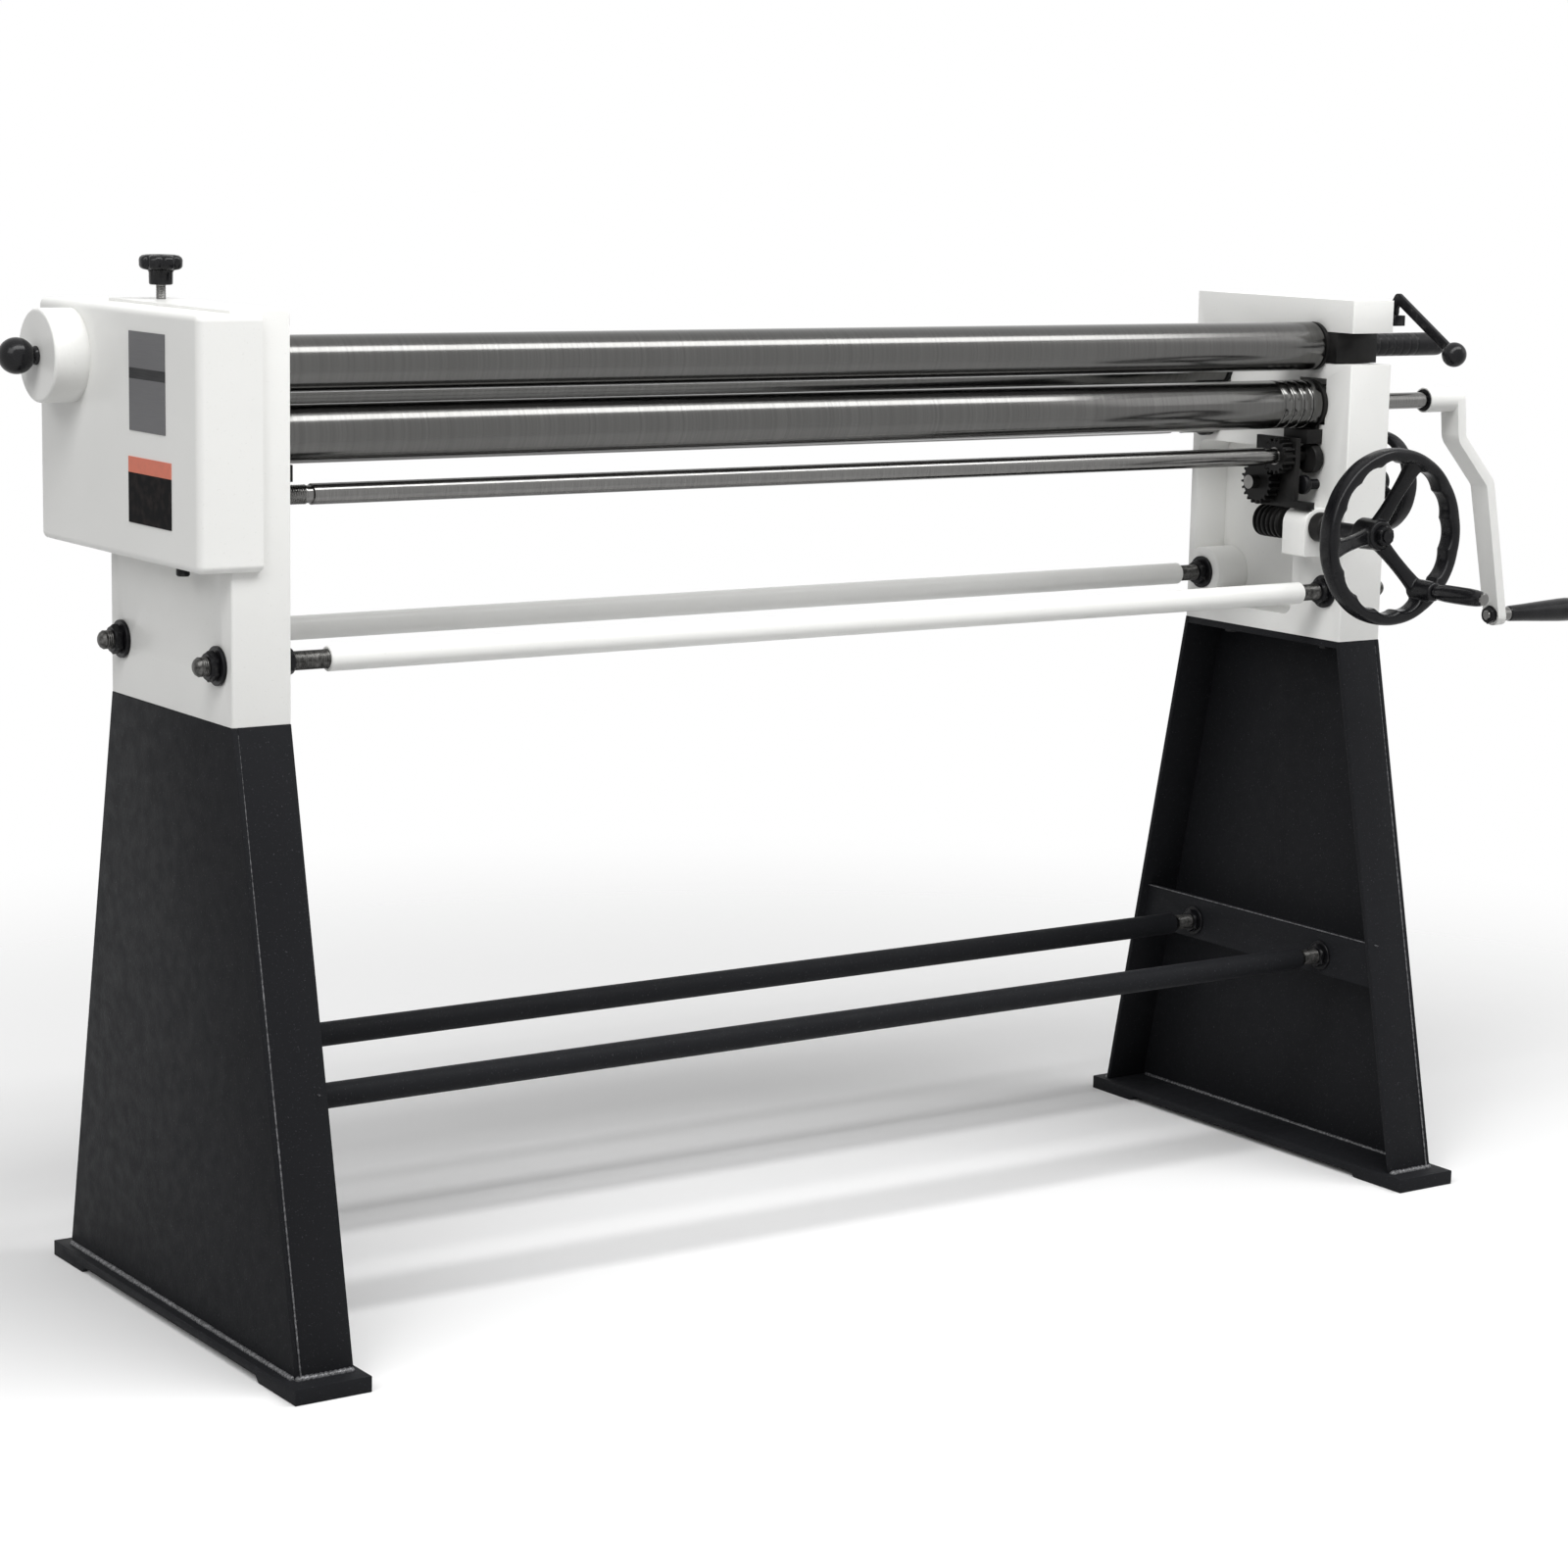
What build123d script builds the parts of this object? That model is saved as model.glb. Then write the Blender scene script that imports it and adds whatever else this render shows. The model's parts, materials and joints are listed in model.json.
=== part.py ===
from build123d import *
import math
import os

os.makedirs("parts", exist_ok=True)

# Driving sizes, in millimetres

# Machine layout: distances run from the left housing's inner face, the housings' front face and the floor
housing_gap = 1340
housing_thick = 62
housing_depth = 270
housing_height = 390
stand_height = 618
running_fit = 0.05
face_gap = 0.5
cut_overrun = 5

# Rolls
roll_radius = 27.5
roll_y = 63
roll_opening = 11
lower_roll_share = 0.83333
rear_roll_inset = 42
rear_roll_drop = 29
roll_end_gap = 8
journal_radius = 12
upper_journal_radius = 13.5
upper_extension_end = 199
extension_dome = 6
wire_groove_radii = (1.3, 1.7, 2.1, 2.5)
wire_groove_pitch = 14
first_groove_inset = 16

# Bearing blocks and their windows in the housings
block_half_width = 22
front_block_half_height = 20
rear_block_half_height = 18
block_flange_thick = 5
block_fit = 0.4
foot_half_width = 20
foot_reach = 24
foot_web_half_width = 14
front_lift_up = 8
front_lift_down = 2
rear_lift_up = 4
rear_lift_down = 9.5
window_spare = 1.5

# Cross shafts with eccentric cams
shaft_radius = 10.3
shaft_end_radius = 10
shaft_neck_radius = 8.6
shaft_bearing_depth = 20
front_shaft_share = 0.65123
rear_shaft_drop_share = 0.22222
cam_radius = 17
cam_width = 12
cam_inset = 2
front_cam_offset = 10
front_cam_rest_deg = -18
rear_cam_offset = 12
rear_cam_rest_deg = 12
cam_clearance = 0.35
left_neck_end = 52
left_neck_start = 38
right_neck_start = 74

# Upper roll's slot, block, ball bush and dog
slot_above = 17
slot_below = 19
slot_back_margin = 2
upper_block_front = 25
upper_block_back = 88
slot_clearance = 1
ball_radius = 22
ball_half_length = 12
ball_gap = 0.3
seat_radius = 26
dog_length = 13
dog_half_height = 10
dog_half_thick = 4
dog_socket_radius = 16
dog_end_gap = 3

# Roll gears under the cover
gear_teeth = 12
gear_tip_radius = 35
gear_root_radius = 22.5
gear_tip_width = 3
gear_base_width = 14
gear_width = 18
gear_stand_off = 6
gear_hub_radius = 20
gear_hub_depth = 12

# Gear cover and its boss
cover_outer = 99
cover_wrap = 32.5
cover_front_proud = 8
cover_back_reach = 85
cover_top_drop = 3
cover_height = 240
cover_wall = 5
cover_round = 7
boss_inset = 79
boss_radius = 46
boss_length = 36
boss_wall = 8
boss_bore_radius = 36
boss_drop = 53
boss_round = 3
cover_screw_radius = 4
cover_screw_head_radius = 6.5
cover_screw_head = 9
cover_screw_share = 0.24

# Pull knob on the boss
pull_rod_radius = 6
pull_rod_inset = 4
pull_disc_radius = 14
pull_disc_thick = 4
pull_stem_radius = 9
pull_stem_length = 5
ball_knob_radius = 18
ball_knob_sink = 2

# Plates on the cover
plate_thick = 0.8
data_plate_gap = 90
data_plate_width = 79
data_plate_drop = 22
data_plate_height = 94
lower_plate_lead = 12
lower_plate_width = 94
lower_plate_drop = 141
lower_plate_height = 63

# Star knob and its stud on the left housing
stud_radius = 5
stud_engage = 5
stud_bare = 14
stud_inset = 25
star_radius = 22
star_height = 14
star_lobes = 8
star_notch_radius = 4.5
star_hub_radius = 12
star_hub_height = 15
star_round = 2

# Right housing: pocket, tie rod bosses and shaft lug
pocket_front = 84
pocket_back_wall = 12
pocket_floor = 22
pocket_rise = 4
pocket_depth = 46
pocket_round = 14
housing_round = 2
tie_boss_radius = 30
lug_front = 22
lug_back = 60
lug_reach = 40
lug_drop = 34
lug_top_share = 0.25316
lug_round = 18

# Frame tie rods between the housings
tie_front_y = 28
tie_back_inset = 27
tie_height_share = 0.17284
tie_tube_radius = 12.5
tie_stud_radius = 9.5
tie_left_bare = 52
tie_right_bare = 40
tie_stud_out = 13
tie_dome = 6
tie_washer_radius = 19
tie_washer_thick = 4
tie_nut_radius = 15
tie_nut_thick = 9

# Stands
base_thick = 16
base_outer_lip = 12
base_inner_lip = 7
base_front_lip = 24
base_back_lip = 18
foot_relief = 6
foot_front_length = 84
foot_back_length = 78
stand_front_spread = 127
stand_back_spread = 118
stand_plate = 6
stand_top_plate = 8
cross_bar_inset = 10
cross_bar_thick = 8
cross_bar_low = 223
cross_bar_high = 274
housing_bolt_radius = 6
housing_bolt_head_radius = 10
housing_bolt_head = 7
housing_bolt_depth = 18
housing_bolt_clear = 0.3
housing_bolt_front = 52

# Stand tie rods
stand_rod_front_y = 18
stand_rod_back_inset = 26
stand_rod_z = 245
stand_rod_radius = 12.75
stand_stud_radius = 9
stand_stud_bare = 26
stand_stud_out = 14
stand_washer_radius = 17
stand_nut_radius = 14
stand_nut_thick = 9

# Crank
crank_shaft_radius = 9.5
crank_boss_start = 176
crank_boss_length = 54
crank_boss_radius = 14.5
crank_arm_thick = 12.5
crank_length = 262
crank_top_half_width = 14.5
crank_low_half_width = 13
crank_arm_start = 223
crank_shoulder_out = 229
crank_shoulder_drop = 46
crank_elbow_out = 280
crank_elbow_drop = 101
crank_end_out = 315
crank_bend_radius = 16
crank_pin_radius = 6
crank_nut_radius = 11
crank_nut_thick = 8
crank_spot_depth = 1.5
crank_collar_radius = 8.5
grip_length = 116
grip_small_radius = 9
grip_large_radius = 14.5
grip_stand_off = 13
grip_pin_share = 0.8

# Front handwheel, its shaft and worm
wheel_inset = 20
wheel_height_share = 0.40741
wheel_radius = 100
wheel_rim = 18
wheel_depth = 24
wheel_rim_y = -97
wheel_hub_radius = 17
wheel_hub_front = -84
wheel_hub_back = -50
spoke_count = 3
wheel_spoke_width = 15
wheel_spoke_depth = 12
wheel_boss_radius = 12
wheel_boss_out = 14
wheel_scallops = 15
wheel_scallop_radius = 13
wheel_first_spoke_deg = 68
wheel_nut_radius = 12
wheel_nut_thick = 8
wheel_stud_radius = 7
wheel_stud_out = 2
wheel_shaft_radius = 9
collar_radius = 17
collar_front = 4
worm_radius = 19
worm_root_radius = 15
worm_length = 44
worm_pitch = 7.85
worm_gap = 10
handle_arm = 79
handle_deg = -51.5
handle_radius = 10
handle_neck_radius = 7
handle_length = 112
handle_pin_radius = 4.5
handle_shoulder = 1
handle_head_radius = 7
handle_head = 3

# Lift gears under the lower roll
wheel_gear_teeth = 24
wheel_gear_radius = 28
wheel_gear_root = 24.5
wheel_gear_width = 11
mesh_tip_gap = 0.3
shaft_gear_teeth = 16
stub_gear_teeth = 20
lift_gear_width = 14
lift_gear_start = 55
lift_tooth_height = 1.87
lift_tooth_root = 2.26
lift_tip_share = 0.26
lift_base_share = 1.5
stub_shaft_radius = 8
stub_shaft_out = 67
bracket_start = 39
bracket_thick = 7
bracket_front = 44
bracket_back = 112
bracket_rise = 21
bracket_foot = 12
bracket_foot_thick = 8

# Lock wheel outside the right housing
lock_y = 50
lock_height_share = 0.58228
lock_screw_radius = 6
lock_head_radius = 11
lock_head_out = 24
lock_head_thick = 8
lock_wheel_radius = 60
lock_wheel_rim = 13
lock_wheel_depth = 18
lock_wheel_out = 24
lock_hub_radius = 13
lock_spoke_width = 14
lock_spoke_depth = 9
lock_scallops = 12
lock_scallop_radius = 9

# Release lever, its ball and the stop block
lever_y = 20
lever_drop = 4
lever_out = 13
lever_thick = 6
lever_eye_radius = 9
lever_knee_y = 10
lever_knee_rise = 2
lever_half_width = 5.5
lever_ball_y = -83
lever_ball_drop = 3
lever_ball_radius = 14
lever_pin_radius = 5
lever_pin_depth = 24
stop_block_out = 17
stop_block_size = 12
stop_block_y = -1
stop_block_rise = 25

# Overall reach, used to set the origin under the middle of the machine
reach_left = cover_outer + boss_length + pull_stem_length + 2 * ball_knob_radius - ball_knob_sink
reach_right = crank_end_out + crank_arm_thick / 2 + grip_stand_off + grip_length
reach_front = wheel_rim_y - wheel_depth / 2 + wheel_depth - handle_length - handle_head
reach_back = housing_depth + stand_back_spread + base_back_lip
middle_x = (housing_gap + reach_right - reach_left) / 2
middle_y = (reach_front + reach_back) / 2
left_face = -middle_x
right_face = left_face + housing_gap
front_face = -middle_y
top_z = stand_height + housing_height

# Heights in the housings: shares of the height that the two front rolls leave over
roll_centres = 2 * roll_radius + roll_opening
free_height = housing_height - roll_centres
tie_z = stand_height + tie_height_share * free_height
wheel_z = stand_height + wheel_height_share * free_height
front_shaft_z = stand_height + front_shaft_share * free_height
lower_roll_z = stand_height + lower_roll_share * free_height
upper_roll_z = lower_roll_z + roll_centres
rear_roll_z = upper_roll_z - rear_roll_drop
rear_shaft_z = rear_roll_z - rear_shaft_drop_share * free_height
lug_top_z = wheel_z + lug_top_share * (front_shaft_z - wheel_z)
lock_z = wheel_z + lock_height_share * (front_shaft_z - wheel_z)
lug_bottom_z = wheel_z - lug_drop
bracket_top_z = front_shaft_z + bracket_rise
pocket_bottom_z = stand_height + pocket_floor
pocket_top_z = front_shaft_z + pocket_rise
stop_block_z = upper_roll_z + stop_block_rise
lever_pivot_z = top_z - lever_drop - lever_eye_radius
lever_knee_z = top_z + lever_knee_rise
lever_ball_z = upper_roll_z - lever_ball_drop
cover_top_z = top_z - cover_top_drop
cover_bottom_z = cover_top_z - cover_height
boss_z = cover_top_z - boss_drop
data_plate_bottom = cover_top_z - data_plate_drop - data_plate_height
lower_plate_bottom = cover_top_z - lower_plate_drop - lower_plate_height

# Depths measured from the housings' back
rear_roll_y = housing_depth - rear_roll_inset
pocket_back = housing_depth - pocket_back_wall
tie_back_y = housing_depth - tie_back_inset
housing_bolt_back = housing_depth - housing_bolt_front
stand_rod_back_y = housing_depth - stand_rod_back_inset
cover_back = housing_depth + cover_back_reach
boss_y = cover_back - boss_inset
data_plate_front = boss_y - boss_radius - data_plate_gap - data_plate_width
lower_plate_front = data_plate_front - lower_plate_lead


# Planes and simple solids shared by the pieces

def facing_x(x):
    """Plane across the machine at x, with Y and Z as its own axes."""
    return Plane.YZ.offset(x)


def facing_front(y):
    """Plane seen from the front at y, with X and Z as its own axes; it faces the operator."""
    return Plane.XZ.offset(-y)


def facing_up(z):
    """Level plane at height z."""
    return Plane.XY.offset(z)


def at_y(y):
    """Frame value of a depth measured from the housings' front face."""
    return front_face + y


def block(low, high, mode=Mode.ADD):
    """Box between two opposite corners."""
    size = [b - a for a, b in zip(low, high)]
    middle = [(a + b) / 2 for a, b in zip(low, high)]
    with Locations(tuple(middle)):
        Box(size[0], size[1], size[2], mode=mode)


def bar_x(x_low, x_high, y, z, radius, mode=Mode.ADD):
    """Round bar along X."""
    with BuildSketch(facing_x(x_low)) as section:
        with Locations((y, z)):
            Circle(radius)
    extrude(section.sketch, amount=x_high - x_low, mode=mode)


def bar_y(y_low, y_high, x, z, radius, mode=Mode.ADD):
    """Round bar along Y."""
    with BuildSketch(facing_front(y_high)) as section:
        with Locations((x, z)):
            Circle(radius)
    extrude(section.sketch, amount=y_high - y_low, mode=mode)


def bar_z(z_low, z_high, x, y, radius, mode=Mode.ADD):
    """Round bar along Z."""
    with BuildSketch(facing_up(z_low)) as section:
        with Locations((x, y)):
            Circle(radius)
    extrude(section.sketch, amount=z_high - z_low, mode=mode)


def hexagon_x(x_low, x_high, y, z, radius, hole):
    """Hexagon nut along X with a round hole."""
    with BuildSketch(facing_x(x_low)) as section:
        with Locations((y, z)):
            RegularPolygon(radius, 6)
            Circle(hole, mode=Mode.SUBTRACT)
    extrude(section.sketch, amount=x_high - x_low)


def turning_plane(y, z):
    """Plane through a line along X, on which a turned outline is drawn as x and radius."""
    return Plane(origin=(0, y, z), x_dir=(1, 0, 0), z_dir=(0, -1, 0))


def turned_x(points, y, z):
    """Solid of revolution about the line along X through y, z; points are (x, radius)."""
    with BuildSketch(turning_plane(y, z)) as section:
        with BuildLine():
            Polyline(*points, close=True)
        make_face()
    revolve(section.sketch, axis=Axis((0, y, z), (1, 0, 0)))


def toothed_x(x_low, x_high, y, z, teeth, tip, root, tip_width, base_width, first_deg, hole):
    """Gear along X with straight tapered teeth, base_width wide at the axis; first_deg is from +Y."""
    tooth = [(0, -base_width / 2), (tip, -tip_width / 2), (tip, tip_width / 2), (0, base_width / 2)]
    with BuildSketch(facing_x(x_low)) as section:
        with Locations((y, z)):
            Circle(root)
            with PolarLocations(0, teeth, start_angle=first_deg):
                Polygon(*tooth, align=(Align.NONE, Align.NONE))
            Circle(hole, mode=Mode.SUBTRACT)
    extrude(section.sketch, amount=x_high - x_low)


def save(piece, label):
    """Label a finished piece and write it."""
    piece.part.label = label
    export_step(piece.part, f"parts/{label}.step")


class Side:
    """One end of the machine: turns distances outward from the inner face into X spans."""

    def __init__(self, name, face, outward):
        self.name = name
        self.face = face
        self.outward = outward

    def x(self, out):
        return self.face + self.outward * out

    def span(self, near, far):
        ends = sorted((self.x(near), self.x(far)))
        return ends[0], ends[1]


left = Side("left", left_face, -1)
right = Side("right", right_face, 1)

# Heights and places that several pieces share
front_cam_top = front_shaft_z + cam_radius + front_cam_offset * math.sin(math.radians(front_cam_rest_deg))
rear_cam_top = rear_shaft_z + cam_radius + rear_cam_offset * math.sin(math.radians(rear_cam_rest_deg))
wheel_x = right_face - wheel_inset
worm_front = lug_back + worm_gap
stub_y = worm_front + worm_length / 2
stub_z = wheel_z + worm_radius + wheel_gear_radius + mesh_tip_gap
lift_centres = math.hypot(stub_y - roll_y, stub_z - front_shaft_z)
shaft_gear_pitch = lift_centres * shaft_gear_teeth / (shaft_gear_teeth + stub_gear_teeth)
stub_gear_pitch = lift_centres - shaft_gear_pitch
lift_line_deg = math.degrees(math.atan2(stub_z - front_shaft_z, stub_y - roll_y))


# Stands

def stand_front_y(z):
    """Front edge of a stand at height z."""
    return -stand_front_spread * (stand_height - z) / (stand_height - base_thick)


def stand_back_y(z):
    """Back edge of a stand at height z."""
    return housing_depth + stand_back_spread * (stand_height - z) / (stand_height - base_thick)


def make_stand(side):
    """Welded stand: base, outer side plate, two sloped flanges, top plate and cross bar."""
    base_front = -stand_front_spread - base_front_lip
    with BuildPart() as base_plate:
        x_low, x_high = side.span(-base_inner_lip, housing_thick + base_outer_lip)
        block((x_low, at_y(base_front), 0), (x_high, at_y(reach_back), base_thick))
        relief_front = base_front + foot_front_length
        relief_back = reach_back - foot_back_length
        with BuildSketch(facing_x(x_low)) as relief:
            with BuildLine():
                Polyline((at_y(relief_front - foot_relief), 0), (at_y(relief_front), foot_relief),
                         (at_y(relief_back), foot_relief), (at_y(relief_back + foot_relief), 0), close=True)
            make_face()
        extrude(relief.sketch, amount=x_high - x_low, mode=Mode.SUBTRACT)
    save(base_plate, f"{side.name}_stand_base_plate")

    with BuildPart() as side_plate:
        x_low, x_high = side.span(housing_thick - stand_plate, housing_thick)
        with BuildSketch(facing_x(x_low)) as outline:
            with BuildLine():
                Polyline((at_y(stand_front_y(base_thick)), base_thick),
                         (at_y(stand_back_y(base_thick)), base_thick),
                         (at_y(housing_depth), stand_height), (at_y(0), stand_height), close=True)
            make_face()
        extrude(outline.sketch, amount=x_high - x_low)
    save(side_plate, f"{side.name}_stand_side_plate")

    flanges = (("front", stand_front_y, 1), ("rear", stand_back_y, -1))
    for name, edge, inward in flanges:
        with BuildPart() as flange:
            x_low, x_high = side.span(0, housing_thick - stand_plate)
            low_y = edge(base_thick)
            high_y = edge(stand_height)
            with BuildSketch(facing_x(x_low)) as outline:
                with BuildLine():
                    Polyline((at_y(low_y), base_thick), (at_y(low_y + inward * stand_plate), base_thick),
                             (at_y(high_y + inward * stand_plate), stand_height),
                             (at_y(high_y), stand_height), close=True)
                make_face()
            extrude(outline.sketch, amount=x_high - x_low)
        save(flange, f"{side.name}_stand_{name}_flange")

    with BuildPart() as top_plate:
        x_low, x_high = side.span(0, housing_thick - stand_plate)
        low = stand_height - stand_top_plate
        with BuildSketch(facing_x(x_low)) as outline:
            with BuildLine():
                Polyline((at_y(stand_front_y(low) + stand_plate), low),
                         (at_y(stand_back_y(low) - stand_plate), low),
                         (at_y(housing_depth - stand_plate), stand_height),
                         (at_y(stand_plate), stand_height), close=True)
            make_face()
        extrude(outline.sketch, amount=x_high - x_low)
        for bolt_y in (housing_bolt_front, housing_bolt_back):
            bar_z(low - cut_overrun, stand_height + cut_overrun, side.x(housing_thick / 2), at_y(bolt_y),
                  housing_bolt_radius + housing_bolt_clear, Mode.SUBTRACT)
    save(top_plate, f"{side.name}_stand_top_plate")

    with BuildPart() as cross_bar:
        x_low, x_high = side.span(cross_bar_inset, cross_bar_inset + cross_bar_thick)
        with BuildSketch(facing_x(x_low)) as outline:
            with BuildLine():
                Polyline((at_y(stand_front_y(cross_bar_low) + stand_plate), cross_bar_low),
                         (at_y(stand_back_y(cross_bar_low) - stand_plate), cross_bar_low),
                         (at_y(stand_back_y(cross_bar_high) - stand_plate), cross_bar_high),
                         (at_y(stand_front_y(cross_bar_high) + stand_plate), cross_bar_high), close=True)
            make_face()
        extrude(outline.sketch, amount=x_high - x_low)
        for rod_y in (stand_rod_front_y, stand_rod_back_y):
            bar_x(x_low - cut_overrun, x_high + cut_overrun, at_y(rod_y), stand_rod_z,
                  stand_stud_radius + running_fit, Mode.SUBTRACT)
    save(cross_bar, f"{side.name}_stand_cross_bar")


def make_stand_rods():
    """Two rods between the stands, turned down at both ends, with washers and nuts."""
    far = cross_bar_inset + cross_bar_thick + stand_nut_thick + stand_stud_out
    near = cross_bar_inset - stand_nut_thick - stand_stud_bare
    with BuildPart() as rods:
        for rod_y in (stand_rod_front_y, stand_rod_back_y):
            bar_x(left.x(near), right.x(near), at_y(rod_y), stand_rod_z, stand_rod_radius)
            bar_x(left.x(far), left.x(near), at_y(rod_y), stand_rod_z, stand_stud_radius)
            bar_x(right.x(near), right.x(far), at_y(rod_y), stand_rod_z, stand_stud_radius)
    save(rods, "stand_tie_rods")

    with BuildPart() as nuts:
        for side in (left, right):
            for rod_y in (stand_rod_front_y, stand_rod_back_y):
                inner = side.span(cross_bar_inset - stand_nut_thick, cross_bar_inset)
                outer = side.span(cross_bar_inset + cross_bar_thick,
                                  cross_bar_inset + cross_bar_thick + stand_nut_thick)
                for low, high in (inner, outer):
                    hexagon_x(low, high, at_y(rod_y), stand_rod_z, stand_nut_radius,
                              stand_stud_radius + running_fit)
                washer_low, washer_high = side.span(cross_bar_inset - stand_plate / 2, cross_bar_inset)
                with BuildSketch(facing_x(washer_low)) as washer:
                    with Locations((at_y(rod_y), stand_rod_z)):
                        Circle(stand_washer_radius)
                        Circle(stand_stud_radius + running_fit, mode=Mode.SUBTRACT)
                extrude(washer.sketch, amount=washer_high - washer_low)
    save(nuts, "stand_rod_nuts")


# Housings

def cut_window(side, y, z, half_height, up, down):
    """Window that guides a bearing block up and down."""
    x_low, x_high = side.span(-cut_overrun, housing_thick + cut_overrun)
    half = block_half_width + block_fit
    block((x_low, at_y(y - half), z - half_height - down - window_spare),
          (x_high, at_y(y + half), z + half_height + up + window_spare), Mode.SUBTRACT)


def cut_shared_holes(side):
    """Windows and bores that both housings have."""
    cut_window(side, roll_y, lower_roll_z, front_block_half_height, front_lift_up, front_lift_down)
    cut_window(side, rear_roll_y, rear_roll_z, rear_block_half_height, rear_lift_up, rear_lift_down)
    x_low, x_high = side.span(-cut_overrun, shaft_bearing_depth)
    for shaft_y, shaft_z in ((roll_y, front_shaft_z), (rear_roll_y, rear_shaft_z)):
        bar_x(x_low, x_high, at_y(shaft_y), shaft_z, shaft_end_radius + running_fit, Mode.SUBTRACT)
    through_low, through_high = side.span(-cut_overrun, housing_thick + cut_overrun)
    for rod_y in (tie_front_y, tie_back_y):
        bar_x(through_low, through_high, at_y(rod_y), tie_z, tie_stud_radius + running_fit, Mode.SUBTRACT)
    for bolt_y in (housing_bolt_front, housing_bolt_back):
        bar_z(stand_height - cut_overrun, stand_height + housing_bolt_depth, side.x(housing_thick / 2),
              at_y(bolt_y), housing_bolt_radius + running_fit, Mode.SUBTRACT)


def housing_body(side):
    """Plain casting of a housing with softened corners."""
    x_low, x_high = side.span(0, housing_thick)
    block((x_low, at_y(0), stand_height), (x_high, at_y(housing_depth), top_z))


def make_left_housing():
    """Left casting, with the ball seat's bore, the gear hub's bore and the stud's hole."""
    with BuildPart() as housing:
        housing_body(left)
        fillet(housing.edges().filter_by(Axis.Z), housing_round)
        cut_shared_holes(left)
        bar_x(left.x(housing_thick + cut_overrun), left.x(-cut_overrun), at_y(roll_y), upper_roll_z,
              gear_hub_radius + running_fit, Mode.SUBTRACT)
        bar_x(left.x(housing_thick / 2 + ball_half_length), left.x(-cut_overrun), at_y(roll_y), upper_roll_z,
              seat_radius, Mode.SUBTRACT)
        bar_z(rear_roll_z, top_z + cut_overrun, left.x(stud_inset), at_y(rear_roll_y),
              stud_radius + running_fit, Mode.SUBTRACT)
    save(housing, "left_housing")


def make_right_housing():
    """Right casting: open slot for the upper roll, pocket with bosses, and the worm shaft's lug."""
    with BuildPart() as housing:
        housing_body(right)
        fillet(housing.edges().filter_by(Axis.Z), housing_round)
        with BuildSketch(facing_x(right.x(-cut_overrun))) as pocket:
            with Locations((at_y((pocket_front + pocket_back) / 2), (pocket_bottom_z + pocket_top_z) / 2)):
                RectangleRounded(pocket_back - pocket_front, pocket_top_z - pocket_bottom_z, pocket_round)
        extrude(pocket.sketch, amount=pocket_depth + cut_overrun, mode=Mode.SUBTRACT)
        with BuildSketch(facing_x(right.x(0))) as boss:
            with Locations((at_y(tie_back_y), tie_z)):
                Circle(tie_boss_radius)
            with Locations((at_y((pocket_front + pocket_back) / 2), (pocket_bottom_z + pocket_top_z) / 2)):
                Rectangle(pocket_back - pocket_front, pocket_top_z - pocket_bottom_z, mode=Mode.INTERSECT)
        extrude(boss.sketch, amount=housing_thick)
        lug_low, lug_high = right.span(-lug_reach, 0)
        with BuildSketch(facing_front(at_y(lug_back))) as lug:
            with BuildLine():
                FilletPolyline((lug_high, lug_bottom_z), (lug_low, lug_bottom_z), (lug_low, lug_top_z),
                               (lug_high, lug_top_z), radius=(housing_round, lug_round))
                Line((lug_high, lug_top_z), (lug_high, lug_bottom_z))
            make_face()
        extrude(lug.sketch, amount=lug_back - lug_front)
        bar_y(at_y(lug_front - cut_overrun), at_y(lug_back + cut_overrun), wheel_x, wheel_z,
              wheel_shaft_radius + running_fit, Mode.SUBTRACT)
        cut_shared_holes(right)
        block((right.x(-cut_overrun), at_y(-cut_overrun), upper_roll_z - slot_below),
              (right.x(housing_thick + cut_overrun), at_y(upper_block_back + slot_back_margin),
               upper_roll_z + slot_above), Mode.SUBTRACT)
        bar_x(right.x(-cut_overrun), right.x(housing_thick + cut_overrun), at_y(lock_y), lock_z,
              lock_screw_radius + running_fit, Mode.SUBTRACT)
        bar_x(right.x(0), right.x(housing_thick + cut_overrun), at_y(stub_y), stub_z,
              stub_shaft_radius + running_fit, Mode.SUBTRACT)
        bar_x(right.x(housing_thick - lever_pin_depth), right.x(housing_thick + cut_overrun), at_y(lever_y),
              lever_pivot_z, lever_pin_radius + running_fit, Mode.SUBTRACT)
    save(housing, "right_housing")


def make_housing_bolts():
    """Bolts that come up through the stands' top plates into the housings."""
    with BuildPart() as bolts:
        for side in (left, right):
            for bolt_y in (housing_bolt_front, housing_bolt_back):
                head_top = stand_height - stand_top_plate
                bar_z(head_top, stand_height + housing_bolt_depth, side.x(housing_thick / 2), at_y(bolt_y),
                      housing_bolt_radius)
                with BuildSketch(facing_up(head_top - housing_bolt_head)) as head:
                    with Locations((side.x(housing_thick / 2), at_y(bolt_y))):
                        RegularPolygon(housing_bolt_head_radius, 6)
                extrude(head.sketch, amount=housing_bolt_head)
    save(bolts, "housing_bolts")


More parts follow.
